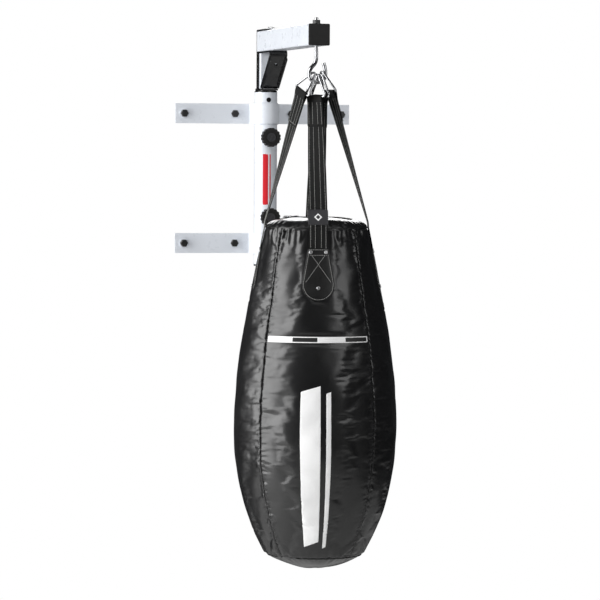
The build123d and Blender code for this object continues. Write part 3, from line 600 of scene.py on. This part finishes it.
# ---- top and bottom panels, welts
def cap_panel(name, outline, depth, seed, replaced, flip):
    """A round end panel with gathers along its seam. outline(share) gives radius and height."""
    rows, cols = 46, 288
    share = np.linspace(0.0, 1.0, rows)
    turn = np.linspace(0, 360, cols, endpoint=False)
    S, A = np.meshgrid(share, turn, indexing="ij")
    radius, z = outline(S)
    near = np.exp(-((1 - S) / 0.16) ** 2) * (1 - np.exp(-((1 - S) / 0.025) ** 2))
    gather = smooth_noise(A, radius, (24, 50), seed, 900.0) * near
    sag = 0.8 * smooth_noise(A, radius * 0.5, (2, 7), seed + 1, 120.0) * np.sin(math.pi * S)
    z = z + (depth * gather + sag) * (1 if z.mean() > -500 else -1)
    points = BAG + bag_out(A) * radius[..., None] + z[..., None] * UP
    faces = grid_faces(rows, cols, wrap=True, flip=flip)
    panel = piece(name, points, faces, "vinyl_end", "bag", "vinyl", replaces=(replaced,))
    soften = panel.modifiers.new("Soften", "SUBSURF")
    soften.levels = soften.render_levels = 1


def hermite(points, tangents, share):
    """Smooth curve through points with these end tangents (radius, height)."""
    points = np.asarray(points, float)
    gone = distance_along(points)
    slopes = np.gradient(points, gone, axis=0)
    slopes[0], slopes[-1] = unit(tangents[0]), unit(tangents[1])
    d = np.asarray(share, float) * gone[-1]
    i = np.clip(np.searchsorted(gone, d, side="right") - 1, 0, len(points) - 2)
    span = (gone[i + 1] - gone[i])
    t = ((d - gone[i]) / span)[..., None]
    span = span[..., None]
    return (points[i] * (2 * t ** 3 - 3 * t ** 2 + 1) + points[i + 1] * (3 * t ** 2 - 2 * t ** 3)
            + slopes[i] * span * (t ** 3 - 2 * t ** 2 + t) + slopes[i + 1] * span * (t ** 3 - t ** 2))


def dome_line(share):
    p = hermite([(0.02, DOME_TOP), (75, -92), (107, -99), (121.0, -112)], [(1, 0), (0.4, -1)], share)
    return p[..., 0], p[..., 1]


def dish_line(share):
    end = float(bag_radius(SEAM_BOTTOM)) - 0.4
    drop = SEAM_BOTTOM - DISH_BOTTOM
    big = (end ** 2 + drop ** 2) / (2 * drop)
    whole = math.asin(end / big)
    a = np.asarray(share) * whole
    return np.maximum(big * np.sin(a), 0.02), DISH_BOTTOM + big * (1 - np.cos(a))


cap_panel("top_skin", dome_line, 1.5, 41, "top_panel", True)
cap_panel("bottom_skin", dish_line, 1.0, 51, "bottom_panel", False)


def round_path(radius, z, count=360, wave=0.0, seed=0):
    turn = np.linspace(0, 360, count, endpoint=False)
    ripple = wave * smooth_noise(turn, 0.0 * turn, (20, 50), seed, 100.0)
    return BAG + bag_out(turn) * (radius + ripple)[:, None] + (z + 0.6 * ripple)[:, None] * UP


for name, z, seed in (("top_welt", SEAM_TOP, 61), ("bottom_welt", SEAM_BOTTOM, 62)):
    ring_line = round_path(float(bag_radius(z)) - 0.9, z, wave=0.35, seed=seed)
    piece(name, *tube_mesh(ring_line, 1.5, 10, closed=True), "welt", "bag", "vinyl")

def skin_at(angle, z, up=0.0):
    """Points on the finished skin, from its grid."""
    angle, z = np.broadcast_arrays(np.asarray(angle, float), np.asarray(z, float))
    wrapped = (angle + 135.0) % 360.0 - 135.0
    ring = np.concatenate([angles, [225.0]])
    col = np.interp(wrapped, ring, np.arange(len(ring)))
    row = np.interp(-z, -heights, np.arange(ROWS))
    c0, r0 = np.floor(col).astype(int), np.clip(np.floor(row).astype(int), 0, ROWS - 2)
    fc, fr = (col - c0)[..., None], (row - r0)[..., None]
    a, b = c0 % len(angles), (c0 + 1) % len(angles)

    def mix(field):
        return ((field[r0, a] * (1 - fc) + field[r0, b] * fc) * (1 - fr)
                + (field[r0 + 1, a] * (1 - fc) + field[r0 + 1, b] * fc) * fr)
    return mix(skin) + unit(mix(normal)) * np.asarray(up, float)[..., None]


seam_rows = []
gore_z = np.linspace(SEAM_TOP - 8, SEAM_BOTTOM + 8, 400)
for seam in SEAM_ANGLES:
    for hand in (-1, 1):
        turn = seam + hand * STITCH_BESIDE_SEAM / (bag_radius(gore_z) * math.radians(1))
        seam_rows.append(stitch_mesh(skin_at(turn, gore_z), bag_normal(turn, gore_z), 5.0, 3.6, 0.4, 0.05))
turn = np.linspace(0, 360, 700)
for z in (SEAM_TOP - 5.0, SEAM_BOTTOM + 5.0):
    level = np.full_like(turn, z)
    seam_rows.append(stitch_mesh(skin_at(turn, level), bag_normal(turn, level), 5.0, 3.6, 0.4, 0.05))
piece("seam_stitching", *joined(seam_rows), "black_thread", "bag", "vinyl")


# ---- foam liner and filling, inside the skin
def inner_shell(name, outer, inner, finish, slot, replaced):
    rows, cols = 60, 96
    z = np.linspace(SEAM_TOP - 6, SEAM_BOTTOM + 8, rows)
    turn = np.linspace(0, 360, cols, endpoint=False)
    Z, A = np.meshgrid(z, turn, indexing="ij")
    wobble = 0.5 * smooth_noise(A, Z, (3, 12), len(name), 180.0)
    shells = []
    for inset in (outer, inner):
        if inset is None:
            continue
        shells.append(BAG + bag_out(A) * (bag_radius(Z) - inset + wobble)[..., None] + Z[..., None] * UP)
    if len(shells) == 2:
        loop = np.concatenate([shells[0], shells[1][::-1]], axis=0)
        faces = grid_faces(2 * rows, cols, wrap=True, flip=True)
        faces += [[(2 * rows - 1) * cols + i, (2 * rows - 1) * cols + (i + 1) % cols, (i + 1) % cols, i][::-1]
                  for i in range(cols)]
        points = loop.reshape(-1, 3)
    else:
        points = np.concatenate([shells[0].reshape(-1, 3), [BAG + UP * (z[0] + 4)], [BAG + UP * (z[-1] - 8)]])
        faces = grid_faces(rows, cols, wrap=True, flip=True)
        top, low = rows * cols, rows * cols + 1
        faces += [[top, i, (i + 1) % cols] for i in range(cols)]
        last = (rows - 1) * cols
        faces += [[low, last + (i + 1) % cols, last + i] for i in range(cols)]
    piece(name, points, faces, finish, "bag", slot, replaces=(replaced,))


inner_shell("liner_foam_pad", 7.5, 20.0, "foam", "foam", "foam_liner")
inner_shell("fill_pack", 21.5, None, "fill", "fill", "fill_core")


# ---- hanging straps
def ring_frame(side):
    place, turn, lean_to, lean, lift_up = RINGS[side]
    place, turn, lean_to, lean = map(math.radians, (place, turn, lean_to, lean))
    foot = np.array([BOWL_X + BOWL_RADIUS * math.sin(place), 0, BOWL_Z - BOWL_RADIUS * math.cos(place)])
    nose = foot + [0, 0, lift_up - RING_NOSE]
    up = np.array([-math.sin(lean) * math.cos(lean_to), -math.sin(lean) * math.sin(lean_to), math.cos(lean)])
    bar = np.array([math.cos(turn), math.sin(turn), 0])
    bar = unit(bar - up * bar.dot(up))

    def out(v):
        return HANG_X * v[0] + HANG_Y * v[1] + UP * v[2]
    return HANG + out(nose), out(bar), out(up)


def strap_frames(side, count=150):
    """Evenly spaced origins, width ways and outward normals from the ring's base bar to the patch."""
    nose, bar, ring_up = ring_frame(side)
    out = bag_out(SIDES[side])
    along = np.cross(UP, out)
    if along.dot(bar) < 0:
        along = -along
    bar_mid = nose - ring_up * RING_HEIGHT
    top = bar_mid - ring_up * 4.0
    bend = BAG + out * BEND_OUT + UP * BEND_Z
    legs = []
    for share in np.linspace(0, 1, 90):
        origin = top + (bend - top) * share
        width = unit(bar * (1 - share) + along * share)
        rise = unit(ring_up * (1 - share) + unit(top - bend) * share)
        legs.append((origin, width, unit(np.cross(width, unit(rise - width * rise.dot(width))))))
    for z in np.linspace(-106, PATCH_TOP - 12, 26):
        lift_off = 2.6 if z > -150 else np.interp(-z, (150, 173), (2.6, 1.6))
        legs.append((on_bag(SIDES[side], z, lift_off), along, bag_normal(SIDES[side], z)))
    origins, widths, normals = (np.array([leg[i] for leg in legs]) for i in range(3))
    facing = np.sign(np.sum(normals * out, -1))[:, None]
    normals = normals * np.where(facing == 0, 1, facing)
    gone = distance_along(origins)
    even = np.linspace(0, gone[-1], count)
    origins, widths, normals = (between(even, gone, values) for values in (origins, widths, normals))
    kernel = np.exp(-(np.arange(-9, 10) * (even[1] - even[0]) / 6.0) ** 2)
    kernel /= kernel.sum()

    def soften(values):
        padded = np.concatenate([2 * values[:1] - values[9:0:-1], values, 2 * values[-1:] - values[-2:-11:-1]])
        return np.stack([np.convolve(padded[:, i], kernel, "valid") for i in range(3)], 1)
    origins, widths, normals = soften(origins), unit(soften(widths)), unit(soften(normals))
    normals = unit(normals - widths * np.sum(normals * widths, -1, keepdims=True))
    return even, origins, widths, normals, bar_mid


def ribbon(name, path, widths, normals, width, thick, finish, slot, replaces=()):
    """A flat band with rounded edges along a path, closed at both ends."""
    section = [(-0.5, -0.2), (-0.49, -0.42), (-0.47, -0.5), (-0.25, -0.5), (0, -0.5), (0.25, -0.5),
               (0.47, -0.5), (0.49, -0.42), (0.5, -0.2), (0.5, 0.2), (0.49, 0.42), (0.47, 0.5),
               (0.25, 0.5), (0, 0.5), (-0.25, 0.5), (-0.47, 0.5), (-0.49, 0.42), (-0.5, 0.2)]
    cols = len(section)
    w = np.array([s[0] for s in section]) * width
    t = np.array([s[1] for s in section]) * thick
    points = path[:, None] + widths[:, None] * w[None, :, None] + normals[:, None] * t[None, :, None]
    gone = distance_along(path)
    uv = np.stack(np.broadcast_arrays((w * MM)[None, :], (gone * MM)[:, None]), -1)
    faces = grid_faces(len(path), cols, wrap=True)
    faces.append(list(range(cols))[::-1])
    faces.append([(len(path) - 1) * cols + i for i in range(cols)])
    return piece(name, points, faces, finish, "bag", slot, replaces=replaces, uv=uv)


TAIL = {"front": 72.0, "left": 78.0, "back": 74.0, "right": 70.0}
stitch_rows = []
strap_lines = {}
for side in SIDES:
    even, origins, widths, normals, bar_mid = strap_frames(side)
    spread = np.exp(-(even / 11.0) ** 2)
    outer_off = PLY_OFFSET + 2.7 * spread
    inner_off = -outer_off
    inner = origins + normals * inner_off[:, None]
    tail_rows = even < TAIL[side]
    outer = (origins + normals * outer_off[:, None])[tail_rows]
    down = unit(origins[1] - origins[0])
    turns = np.linspace(0, math.pi, 17)[1:-1]
    wrap_n = np.array([normals[0] * math.cos(a) - down * math.sin(a) for a in turns])
    wrap = bar_mid + (RING_WIRE + 0.35 + PLY / 2) * wrap_n
    path = np.concatenate([outer[::-1], wrap, inner])
    path_w = np.concatenate([widths[tail_rows][::-1], np.repeat(widths[:1], len(turns), 0), widths])
    path_n = np.concatenate([normals[tail_rows][::-1], wrap_n, -normals])
    ribbon(f"strap_web_{side}", path, path_w, path_n, WEB_WIDTH, PLY, "webbing", "webbing",
           (f"strap_{side}",))
    strap_lines[side] = (even, origins, widths, normals)
    facing_off = np.where(even < TAIL[side], outer_off, inner_off) + PLY / 2
    front_face = origins + normals * facing_off[:, None]
    back_face = origins + normals * (inner_off - PLY / 2)[:, None]
    last = even[-1] - 13.0
    for across in STITCH_LINES:
        for face, way in ((front_face, normals), (back_face, -normals)):
            rows = [(even > 8) & (even < TAIL[side] - 1.5), (even > TAIL[side] + 0.5) & (even < last)] \
                if way is normals else [(even > 8) & (even < last - 45)]
            for keep in rows:
                stitch_rows.append(stitch_mesh(face[keep] + widths[keep] * across, way[keep], 4.0, 2.9, 0.4))
    if side != "front":
        k = int(np.argmin(np.abs(even - (TAIL[side] - 4.0))))
        line = front_face[k] + np.linspace(-17.5, 17.5, 20)[:, None] * widths[k]
        stitch_rows.append(stitch_mesh(line, np.repeat(normals[k:k + 1], 20, 0), 4.0, 2.9, 0.4))
piece("strap_stitching", *joined(stitch_rows), "white_thread", "bag", "webbing")


# ---- badge on the front strap
even, origins, widths, normals = strap_lines["front"]
shoulder = BAG + bag_out(SIDES["front"]) * BEND_OUT + UP * BEND_Z
shoulder_d = float(even[np.argmin(np.linalg.norm(origins - shoulder, axis=1))])


def strap_grid(across, along, raise_by):
    """Points on the front strap's outer face at these places across and distances along it."""
    return (between(along, even, origins) + between(along, even, widths) * across[..., None]
            + between(along, even, normals) * (-PLY_OFFSET + PLY / 2 + raise_by)[..., None])


def pillow(name, half_w, d0, d1, thick, corner, finish, slot, replaces=(), base=0.0):
    """A thin moulded plate with rounded corners and edges on the strap between d0 and d1."""
    loops, count = [], 72
    middle, half_d = (d0 + d1) / 2, (d1 - d0) / 2
    turn = np.linspace(0, 2 * math.pi, count, endpoint=False)
    cx, cy = np.cos(turn), np.sin(turn)

    def loop(inset, height):
        hw, hd, r = half_w - inset, half_d - inset, max(corner - inset, 0.6)
        x = np.sign(cx) * (hw - r) * (np.abs(cx) > 1e-9) + r * cx
        y = np.sign(cy) * (hd - r) * (np.abs(cy) > 1e-9) + r * cy
        loops.append((x, y, np.full(count, height)))
    for inset, height in ((0.0, 0.0), (0.0, 0.55 * thick), (0.35, 0.9 * thick), (0.9, thick), (2.2, thick),
                          (2.7, 0.8 * thick), (3.2, 0.8 * thick)):
        loop(inset, height + base)
    steps = 9
    x_in, y_in, _ = loops[-1]
    for k in range(1, steps):
        s = 1 - k / steps
        loops.append((x_in * s, y_in * s, np.full(count, 0.8 * thick + base)))
    X, Y, H = (np.array([one[i] for one in loops]) for i in range(3))
    points = strap_grid(X, middle - Y, H).reshape(-1, 3)
    faces = grid_faces(len(loops), count, wrap=True)
    centre = strap_grid(np.zeros(1), np.full(1, middle), np.full(1, 0.8 * thick + base))
    points = np.concatenate([points, centre])
    last = (len(loops) - 1) * count
    faces += fan(last, count, len(points) - 1)
    return piece(name, points, faces, finish, "bag", slot, replaces=replaces)


badge_top, badge_low = shoulder_d - 37.5, shoulder_d + 1.0
pillow("badge_plate", 23.5, badge_top, badge_low, 1.8, 3.0, "rubber", "badge_rubber", ("strap_badge",),
       base=0.1)
badge_mid = (badge_top + badge_low) / 2


def badge_mark(name, outline, raise_from, raise_to, finish):
    """A flat raised mark on the badge from its outline points (across, along)."""
    outline = np.array(outline, float)
    count = len(outline)
    loops = [strap_grid(outline[:, 0], badge_mid + outline[:, 1], np.full(count, h))
             for h in (raise_from, raise_to)]
    centre = strap_grid(np.array([outline[:, 0].mean()]), np.array([badge_mid + outline[:, 1].mean()]),
                        np.array([raise_to]))
    points = np.concatenate([*loops, centre])
    faces = grid_faces(2, count, wrap=True)
    faces += fan(count, count, 2 * count)
    piece(name, points, faces, finish, "bag", "badge_rubber", smooth=False)


badge_mark("badge_diamond", [(0, -9.5), (9.5, 0), (0, 9.5), (-9.5, 0)], 1.4, 1.9, "white_print")
badge_mark("badge_diamond_core", [(0, -5.5), (5.5, 0), (0, 5.5), (-5.5, 0)], 1.8, 2.1, "rubber")


# ---- leather patches
def patch_outline(count=120, inset=0.0):
    """Teardrop outline (across, height): a circle below, straight sides up to a narrow flat top."""
    r = PATCH_RADIUS - inset
    top, half = PATCH_TOP - inset * 0.6, PATCH_HALF_TOP - inset
    dx, dz = half, top - PATCH_ROUND_Z
    reach = math.hypot(dx, dz)
    a = math.atan2(dz, dx) - math.acos(r / reach)
    low = np.linspace(a, -math.pi - a, count - 36)
    circle = np.stack([r * np.cos(low), PATCH_ROUND_Z + r * np.sin(low)], 1)
    share = np.linspace(0, 1, 14)[1:-1, None]
    left = circle[-1] * (1 - share) + np.array([-half, top]) * share
    right = np.array([half, top]) * (1 - share) + circle[0] * share
    share = np.linspace(0, 1, 12)[:, None]
    flat = np.array([-half, top]) * (1 - share) + np.array([half, top]) * share
    return np.concatenate([circle, left, flat, right])


def to_patch(angle, outline, raise_by):
    z = outline[:, 1]
    over = np.clip((z + 166.0) / 4.0, 0, 1) * 1.3
    turn = angle + np.degrees(outline[:, 0] / bag_radius(z))
    return on_bag(turn, z, raise_by + over)


patch_stitch = []
for side, angle in SIDES.items():
    loops = [to_patch(angle, patch_outline(inset=i), h) for i, h in
             ((0.0, 0.2), (-0.1, 1.2), (0.25, 2.0), (0.9, 2.5), (2.0, 2.7), (3.2, 2.5), (4.0, 2.45),
              (5.0, 2.7))]
    inner_line = patch_outline(inset=5.0)
    centre = np.array([0.0, -225.0])
    for s in (0.85, 0.7, 0.55, 0.4, 0.25, 0.1):
        loops.append(to_patch(angle, centre + (inner_line - centre) * s, 2.7))
    count = len(loops[0])
    points = np.concatenate([*loops, to_patch(angle, centre[None], 2.7)])
    faces = grid_faces(len(loops), count, wrap=True)
    last = (len(loops) - 1) * count
    faces += fan(last, count, len(points) - 1)
    piece(f"leather_patch_{side}", points, faces, "leather", "bag", "patch_leather",
          replaces=(f"patch_{side}",))
    edge_line = patch_outline(inset=3.5)
    loop = np.concatenate([edge_line, edge_line[:1]])
    lines = [loop]
    for hand in (-1, 1):
        share = np.linspace(0, 1, 30)[:, None]
        lines.append(np.array([hand * 15.0, -176.0]) * (1 - share) + np.array([-hand * 30.5, -240.0]) * share)
    share = np.linspace(0, 1, 20)[:, None]
    lines.append(np.array([-20.0, -175.5]) * (1 - share) + np.array([20.0, -175.5]) * share)
    for line in lines:
        on = to_patch(angle, line, 2.55 if line is loop else 2.72)
        turn = angle + np.degrees(line[:, 0] / bag_radius(line[:, 1]))
        patch_stitch.append(stitch_mesh(on, bag_normal(turn, line[:, 1]), 4.1, 3.0, 0.42))
piece("patch_stitching", *joined(patch_stitch), "white_thread", "bag", "patch_leather")


# ---- prints: label strip and plain bars
def skin_print(name, angle_from, angle_to, z_from, z_to, finish, slot, raise_by, replaces=(), slant=0.0):
    """A thin printed area that follows the finished skin, with its edges turned down onto it."""
    rows = max(4, int(abs(z_to - z_from) / 3.0) + 2)
    cols = max(6, int(abs(angle_to - angle_from) / 0.9) + 2)
    A, Z = np.meshgrid(np.linspace(angle_from, angle_to, cols), np.linspace(z_from, z_to, rows))
    Z = Z + slant * (A - angle_from) / (angle_to - angle_from)
    raised = np.full(A.shape, raise_by)
    raised[0], raised[-1], raised[:, 0], raised[:, -1] = (-0.15,) * 4
    return piece(name, skin_at(A, Z, raised), grid_faces(rows, cols, flip=True), finish, "bag", slot,
                 replaces=replaces)


skin_print("label_border", -133.0, -47.0, LABEL_TOP, LABEL_LOW, "white_print", "label_print", 0.45,
           ("label_strip",))
for k in (1, 3):
    start = -132.2 + k * 21.15
    skin_print(f"label_block_{k}", start, start + 20.9, LABEL_TOP - 0.9, LABEL_LOW + 0.9, "black_print",
               "label_print", 0.75)
skin_print("side_bar_wide", -103.0, -88.0, -490.0, -858.0, "white_print", "vinyl", 0.3, slant=14.0)
skin_print("side_bar_slim", -84.5, -80.5, -494.0, -861.0, "white_print", "vinyl", 0.3, slant=4.0)


# ---- closure zip on the top
def on_top(x, y, raise_by):
    """Points on the top panel at bag-frame x, y (mm)."""
    share = np.linspace(0, 1, 200)
    radius, z = dome_line(share)
    height = np.interp(np.hypot(x, y), radius, z)
    return BAG + np.multiply.outer(x, HANG_X) + np.multiply.outer(y, HANG_Y) \
        + np.multiply.outer(height + raise_by, UP)


tape_lines = np.array([-14, -13.6, -12, -6, -2.6, -2.4, 2.4, 2.6, 6, 12, 13.6, 14])
X, Y = np.meshgrid(np.linspace(-85, 85, 60), tape_lines)
raised = np.where(np.abs(Y) > 13.8, -0.4, np.where(np.abs(Y) < 2.5, 0.3, 1.1)) + 0.5
piece("zip_tape", on_top(X, Y, raised), grid_faces(*X.shape), "zip_tape", "bag", "zip_tape",
      replaces=("closure_zip",), uv=np.stack([Y * MM, X * MM], -1))
teeth = []
for k in range(54):
    x = -80.0 + 3.0 * k
    hand = 1 if k % 2 else -1
    line = np.array([[x, hand * 2.2], [x, hand * 0.9], [x, -hand * 0.9]])
    teeth.append(tube_mesh(on_top(line[:, 0], line[:, 1], 1.7), np.array([0.7, 0.95, 0.8]), 6))
piece("zip_teeth", *joined(teeth), "plastic", "bag", "zip_tape")
slider_line = on_top(np.array([-79.0, -75.0, -70.0, -65.0]), np.zeros(4), 3.0)
pull_line = on_top(np.linspace(-66, -42, 8), np.linspace(0, 3, 8),
                   np.array([4.6, 4.4, 3.6, 3.2, 3.1, 3.1, 3.1, 3.1]))
piece("zip_slider", *joined([tube_mesh(slider_line, np.array([2.6, 3.6, 3.6, 2.2]), 10),
                             tube_mesh(pull_line, np.array([1.0, 1.2, 1.2, 1.2, 1.4, 1.9, 1.9, 1.2]), 8)]),
      "zinc", "bag", "zip_tape")


# ---- bracket details
def bead(path, radius, seed):
    """A weld bead: a rippled tube along the joint."""
    draw = np.random.default_rng(seed)
    ripple = 1 + 0.16 * np.sin(np.arange(len(path)) * 1.9) + draw.uniform(-0.05, 0.05, len(path))
    return tube_mesh(path, radius * ripple, 8)


welds = []
for k, strap_z in enumerate((162.5, -162.5)):
    for j, z in enumerate((strap_z - 25, strap_z + 25)):
        turn = np.linspace(-205, 25, 140)
        arc_line = np.array([[28.9 * math.cos(math.radians(t)), MAST_Y + 28.9 * math.sin(math.radians(t)),
                              z + (0.6 if j else -0.6)] for t in turn])
        welds.append(bead(arc_line, 1.5, 70 + 2 * k + j))
piece("bracket_welds", *joined(welds), "white_paint", "wall_bracket", "white_paint")


def tube_print(name, x_from, x_to, z_from, z_to):
    rows, cols = 24, 12
    X, Z = np.meshgrid(np.linspace(x_from, x_to, cols), np.linspace(z_from, z_to, rows))
    turn = X / TUBE_RADIUS
    radius = np.full(X.shape, 28.72)
    radius[0], radius[-1], radius[:, 0], radius[:, -1] = (28.45,) * 4
    points = np.stack([radius * np.sin(turn), MAST_Y - radius * np.cos(turn), Z], -1)
    piece(name, points, grid_faces(rows, cols), "red_print", "wall_bracket", "white_paint")


tube_print("tube_bar_wide", -14.0, 0.0, 62.0, -66.0)
tube_print("tube_bar_slim", 3.0, 6.5, 62.0, -66.0)


# ---- floor, lights, camera
def stage_plane(name, size, z, colour):
    (x0, x1), (y0, y1) = size
    mesh = bpy.data.meshes.new(name)
    mesh.from_pydata([(x0, y0, z), (x1, y0, z), (x1, y1, z), (x0, y1, z)], [], [(0, 1, 2, 3)])
    obj = placed(name, mesh)
    p = Paint(name, colour, 0.7)
    p.tint(p.blend(p.ramp(p.noise(6.0, 5.0), 0.3, 0.7), colour, tuple(0.96 * c for c in colour)))
    mesh.materials.append(p.material)


stage_plane("studio_floor", ((-1.9, 1.7), (-3.2, 0.3)), -1.34, (0.8, 0.8, 0.79))

world = bpy.data.worlds.new("studio")
bpy.context.scene.world = world
bpy.context.scene.view_settings.view_transform = "Standard"
world.use_nodes = True
wn, wl = world.node_tree.nodes, world.node_tree.links
back = wn["Background"]
back.inputs["Color"].default_value = (0.9, 0.93, 1.0, 1.0)
back.inputs["Strength"].default_value = 0.03
seen = wn.new("ShaderNodeBackground")
seen.inputs["Color"].default_value = (1.0, 1.0, 1.0, 1.0)
seen.inputs["Strength"].default_value = 1.0
path_node = wn.new("ShaderNodeLightPath")
choose = wn.new("ShaderNodeMixShader")
wl.new(path_node.outputs["Is Camera Ray"], choose.inputs[0])
wl.new(back.outputs[0], choose.inputs[1])
wl.new(seen.outputs[0], choose.inputs[2])
wl.new(choose.outputs[0], wn["World Output"].inputs["Surface"])


def softbox(name, place, aim, size, power, in_gloss=True):
    lamp = bpy.data.lights.new(name, "AREA")
    lamp.shape = "RECTANGLE"
    lamp.size, lamp.size_y = size
    lamp.energy = power
    obj = placed(name, lamp)
    obj.location = place
    obj.rotation_euler = (Vector(aim) - Vector(place)).to_track_quat("-Z", "Y").to_euler()
    obj.visible_camera = False
    obj.visible_glossy = in_gloss


def from_bag(azimuth, distance, z):
    """A point round the bag: azimuth from the camera's side, to its right, in degrees."""
    a = math.radians(CAMERA_AZIMUTH + azimuth)
    return (BAG[0] * MM + distance * math.sin(a), BAG[1] * MM - distance * math.cos(a), z)


middle = (BAG[0] * MM, BAG[1] * MM, -0.4)
softbox("left_softbox", from_bag(-75, 2.4, 0.1), middle, (1.7, 3.0), 92.0)
softbox("right_softbox", from_bag(46, 3.0, 1.2), middle, (1.9, 2.4), 34.0)
softbox("front_fill", from_bag(-20, 4.5, 1.4), (0.0, -0.2, 0.1), (2.4, 2.4), 34.0, in_gloss=False)
softbox("low_fill", from_bag(-30, 4.0, -0.9), (0.0, -0.2, 0.1), (1.6, 0.8), 12.0, in_gloss=False)
softbox("top_light", (-0.3, -1.6, 2.8), (0.0, -0.3, 0.0), (2.0, 1.4), 14.0)
softbox("rim_light", from_bag(180, 2.6, 0.62), (0.0, -0.5, 0.0), (1.7, 0.7), 22.0)
softbox("back_fill", (1.2, 3.2, 1.2), (0.0, -0.4, 0.0), (2.6, 2.0), 40.0, in_gloss=False)

camera = bpy.data.cameras.new("camera")
camera.sensor_width = 36.0
camera.lens = 36.0 * 3270.4 / 600.0
camera.clip_end = 60.0
camera_object = placed("camera", camera)
bpy.context.scene.camera = camera_object
camera_object.location = (-2.0189, -8.0, 0.0388)
azimuth, elevation, roll = math.radians(CAMERA_AZIMUTH), math.radians(2.3925), math.radians(0.36)
look = Vector((-math.sin(azimuth) * math.cos(elevation), math.cos(azimuth) * math.cos(elevation),
               -math.sin(elevation)))
camera_object.rotation_mode = "QUATERNION"
camera_object.rotation_quaternion = look.to_track_quat("-Z", "Y")
camera_object.rotation_quaternion.rotate(Quaternion(look, -roll))
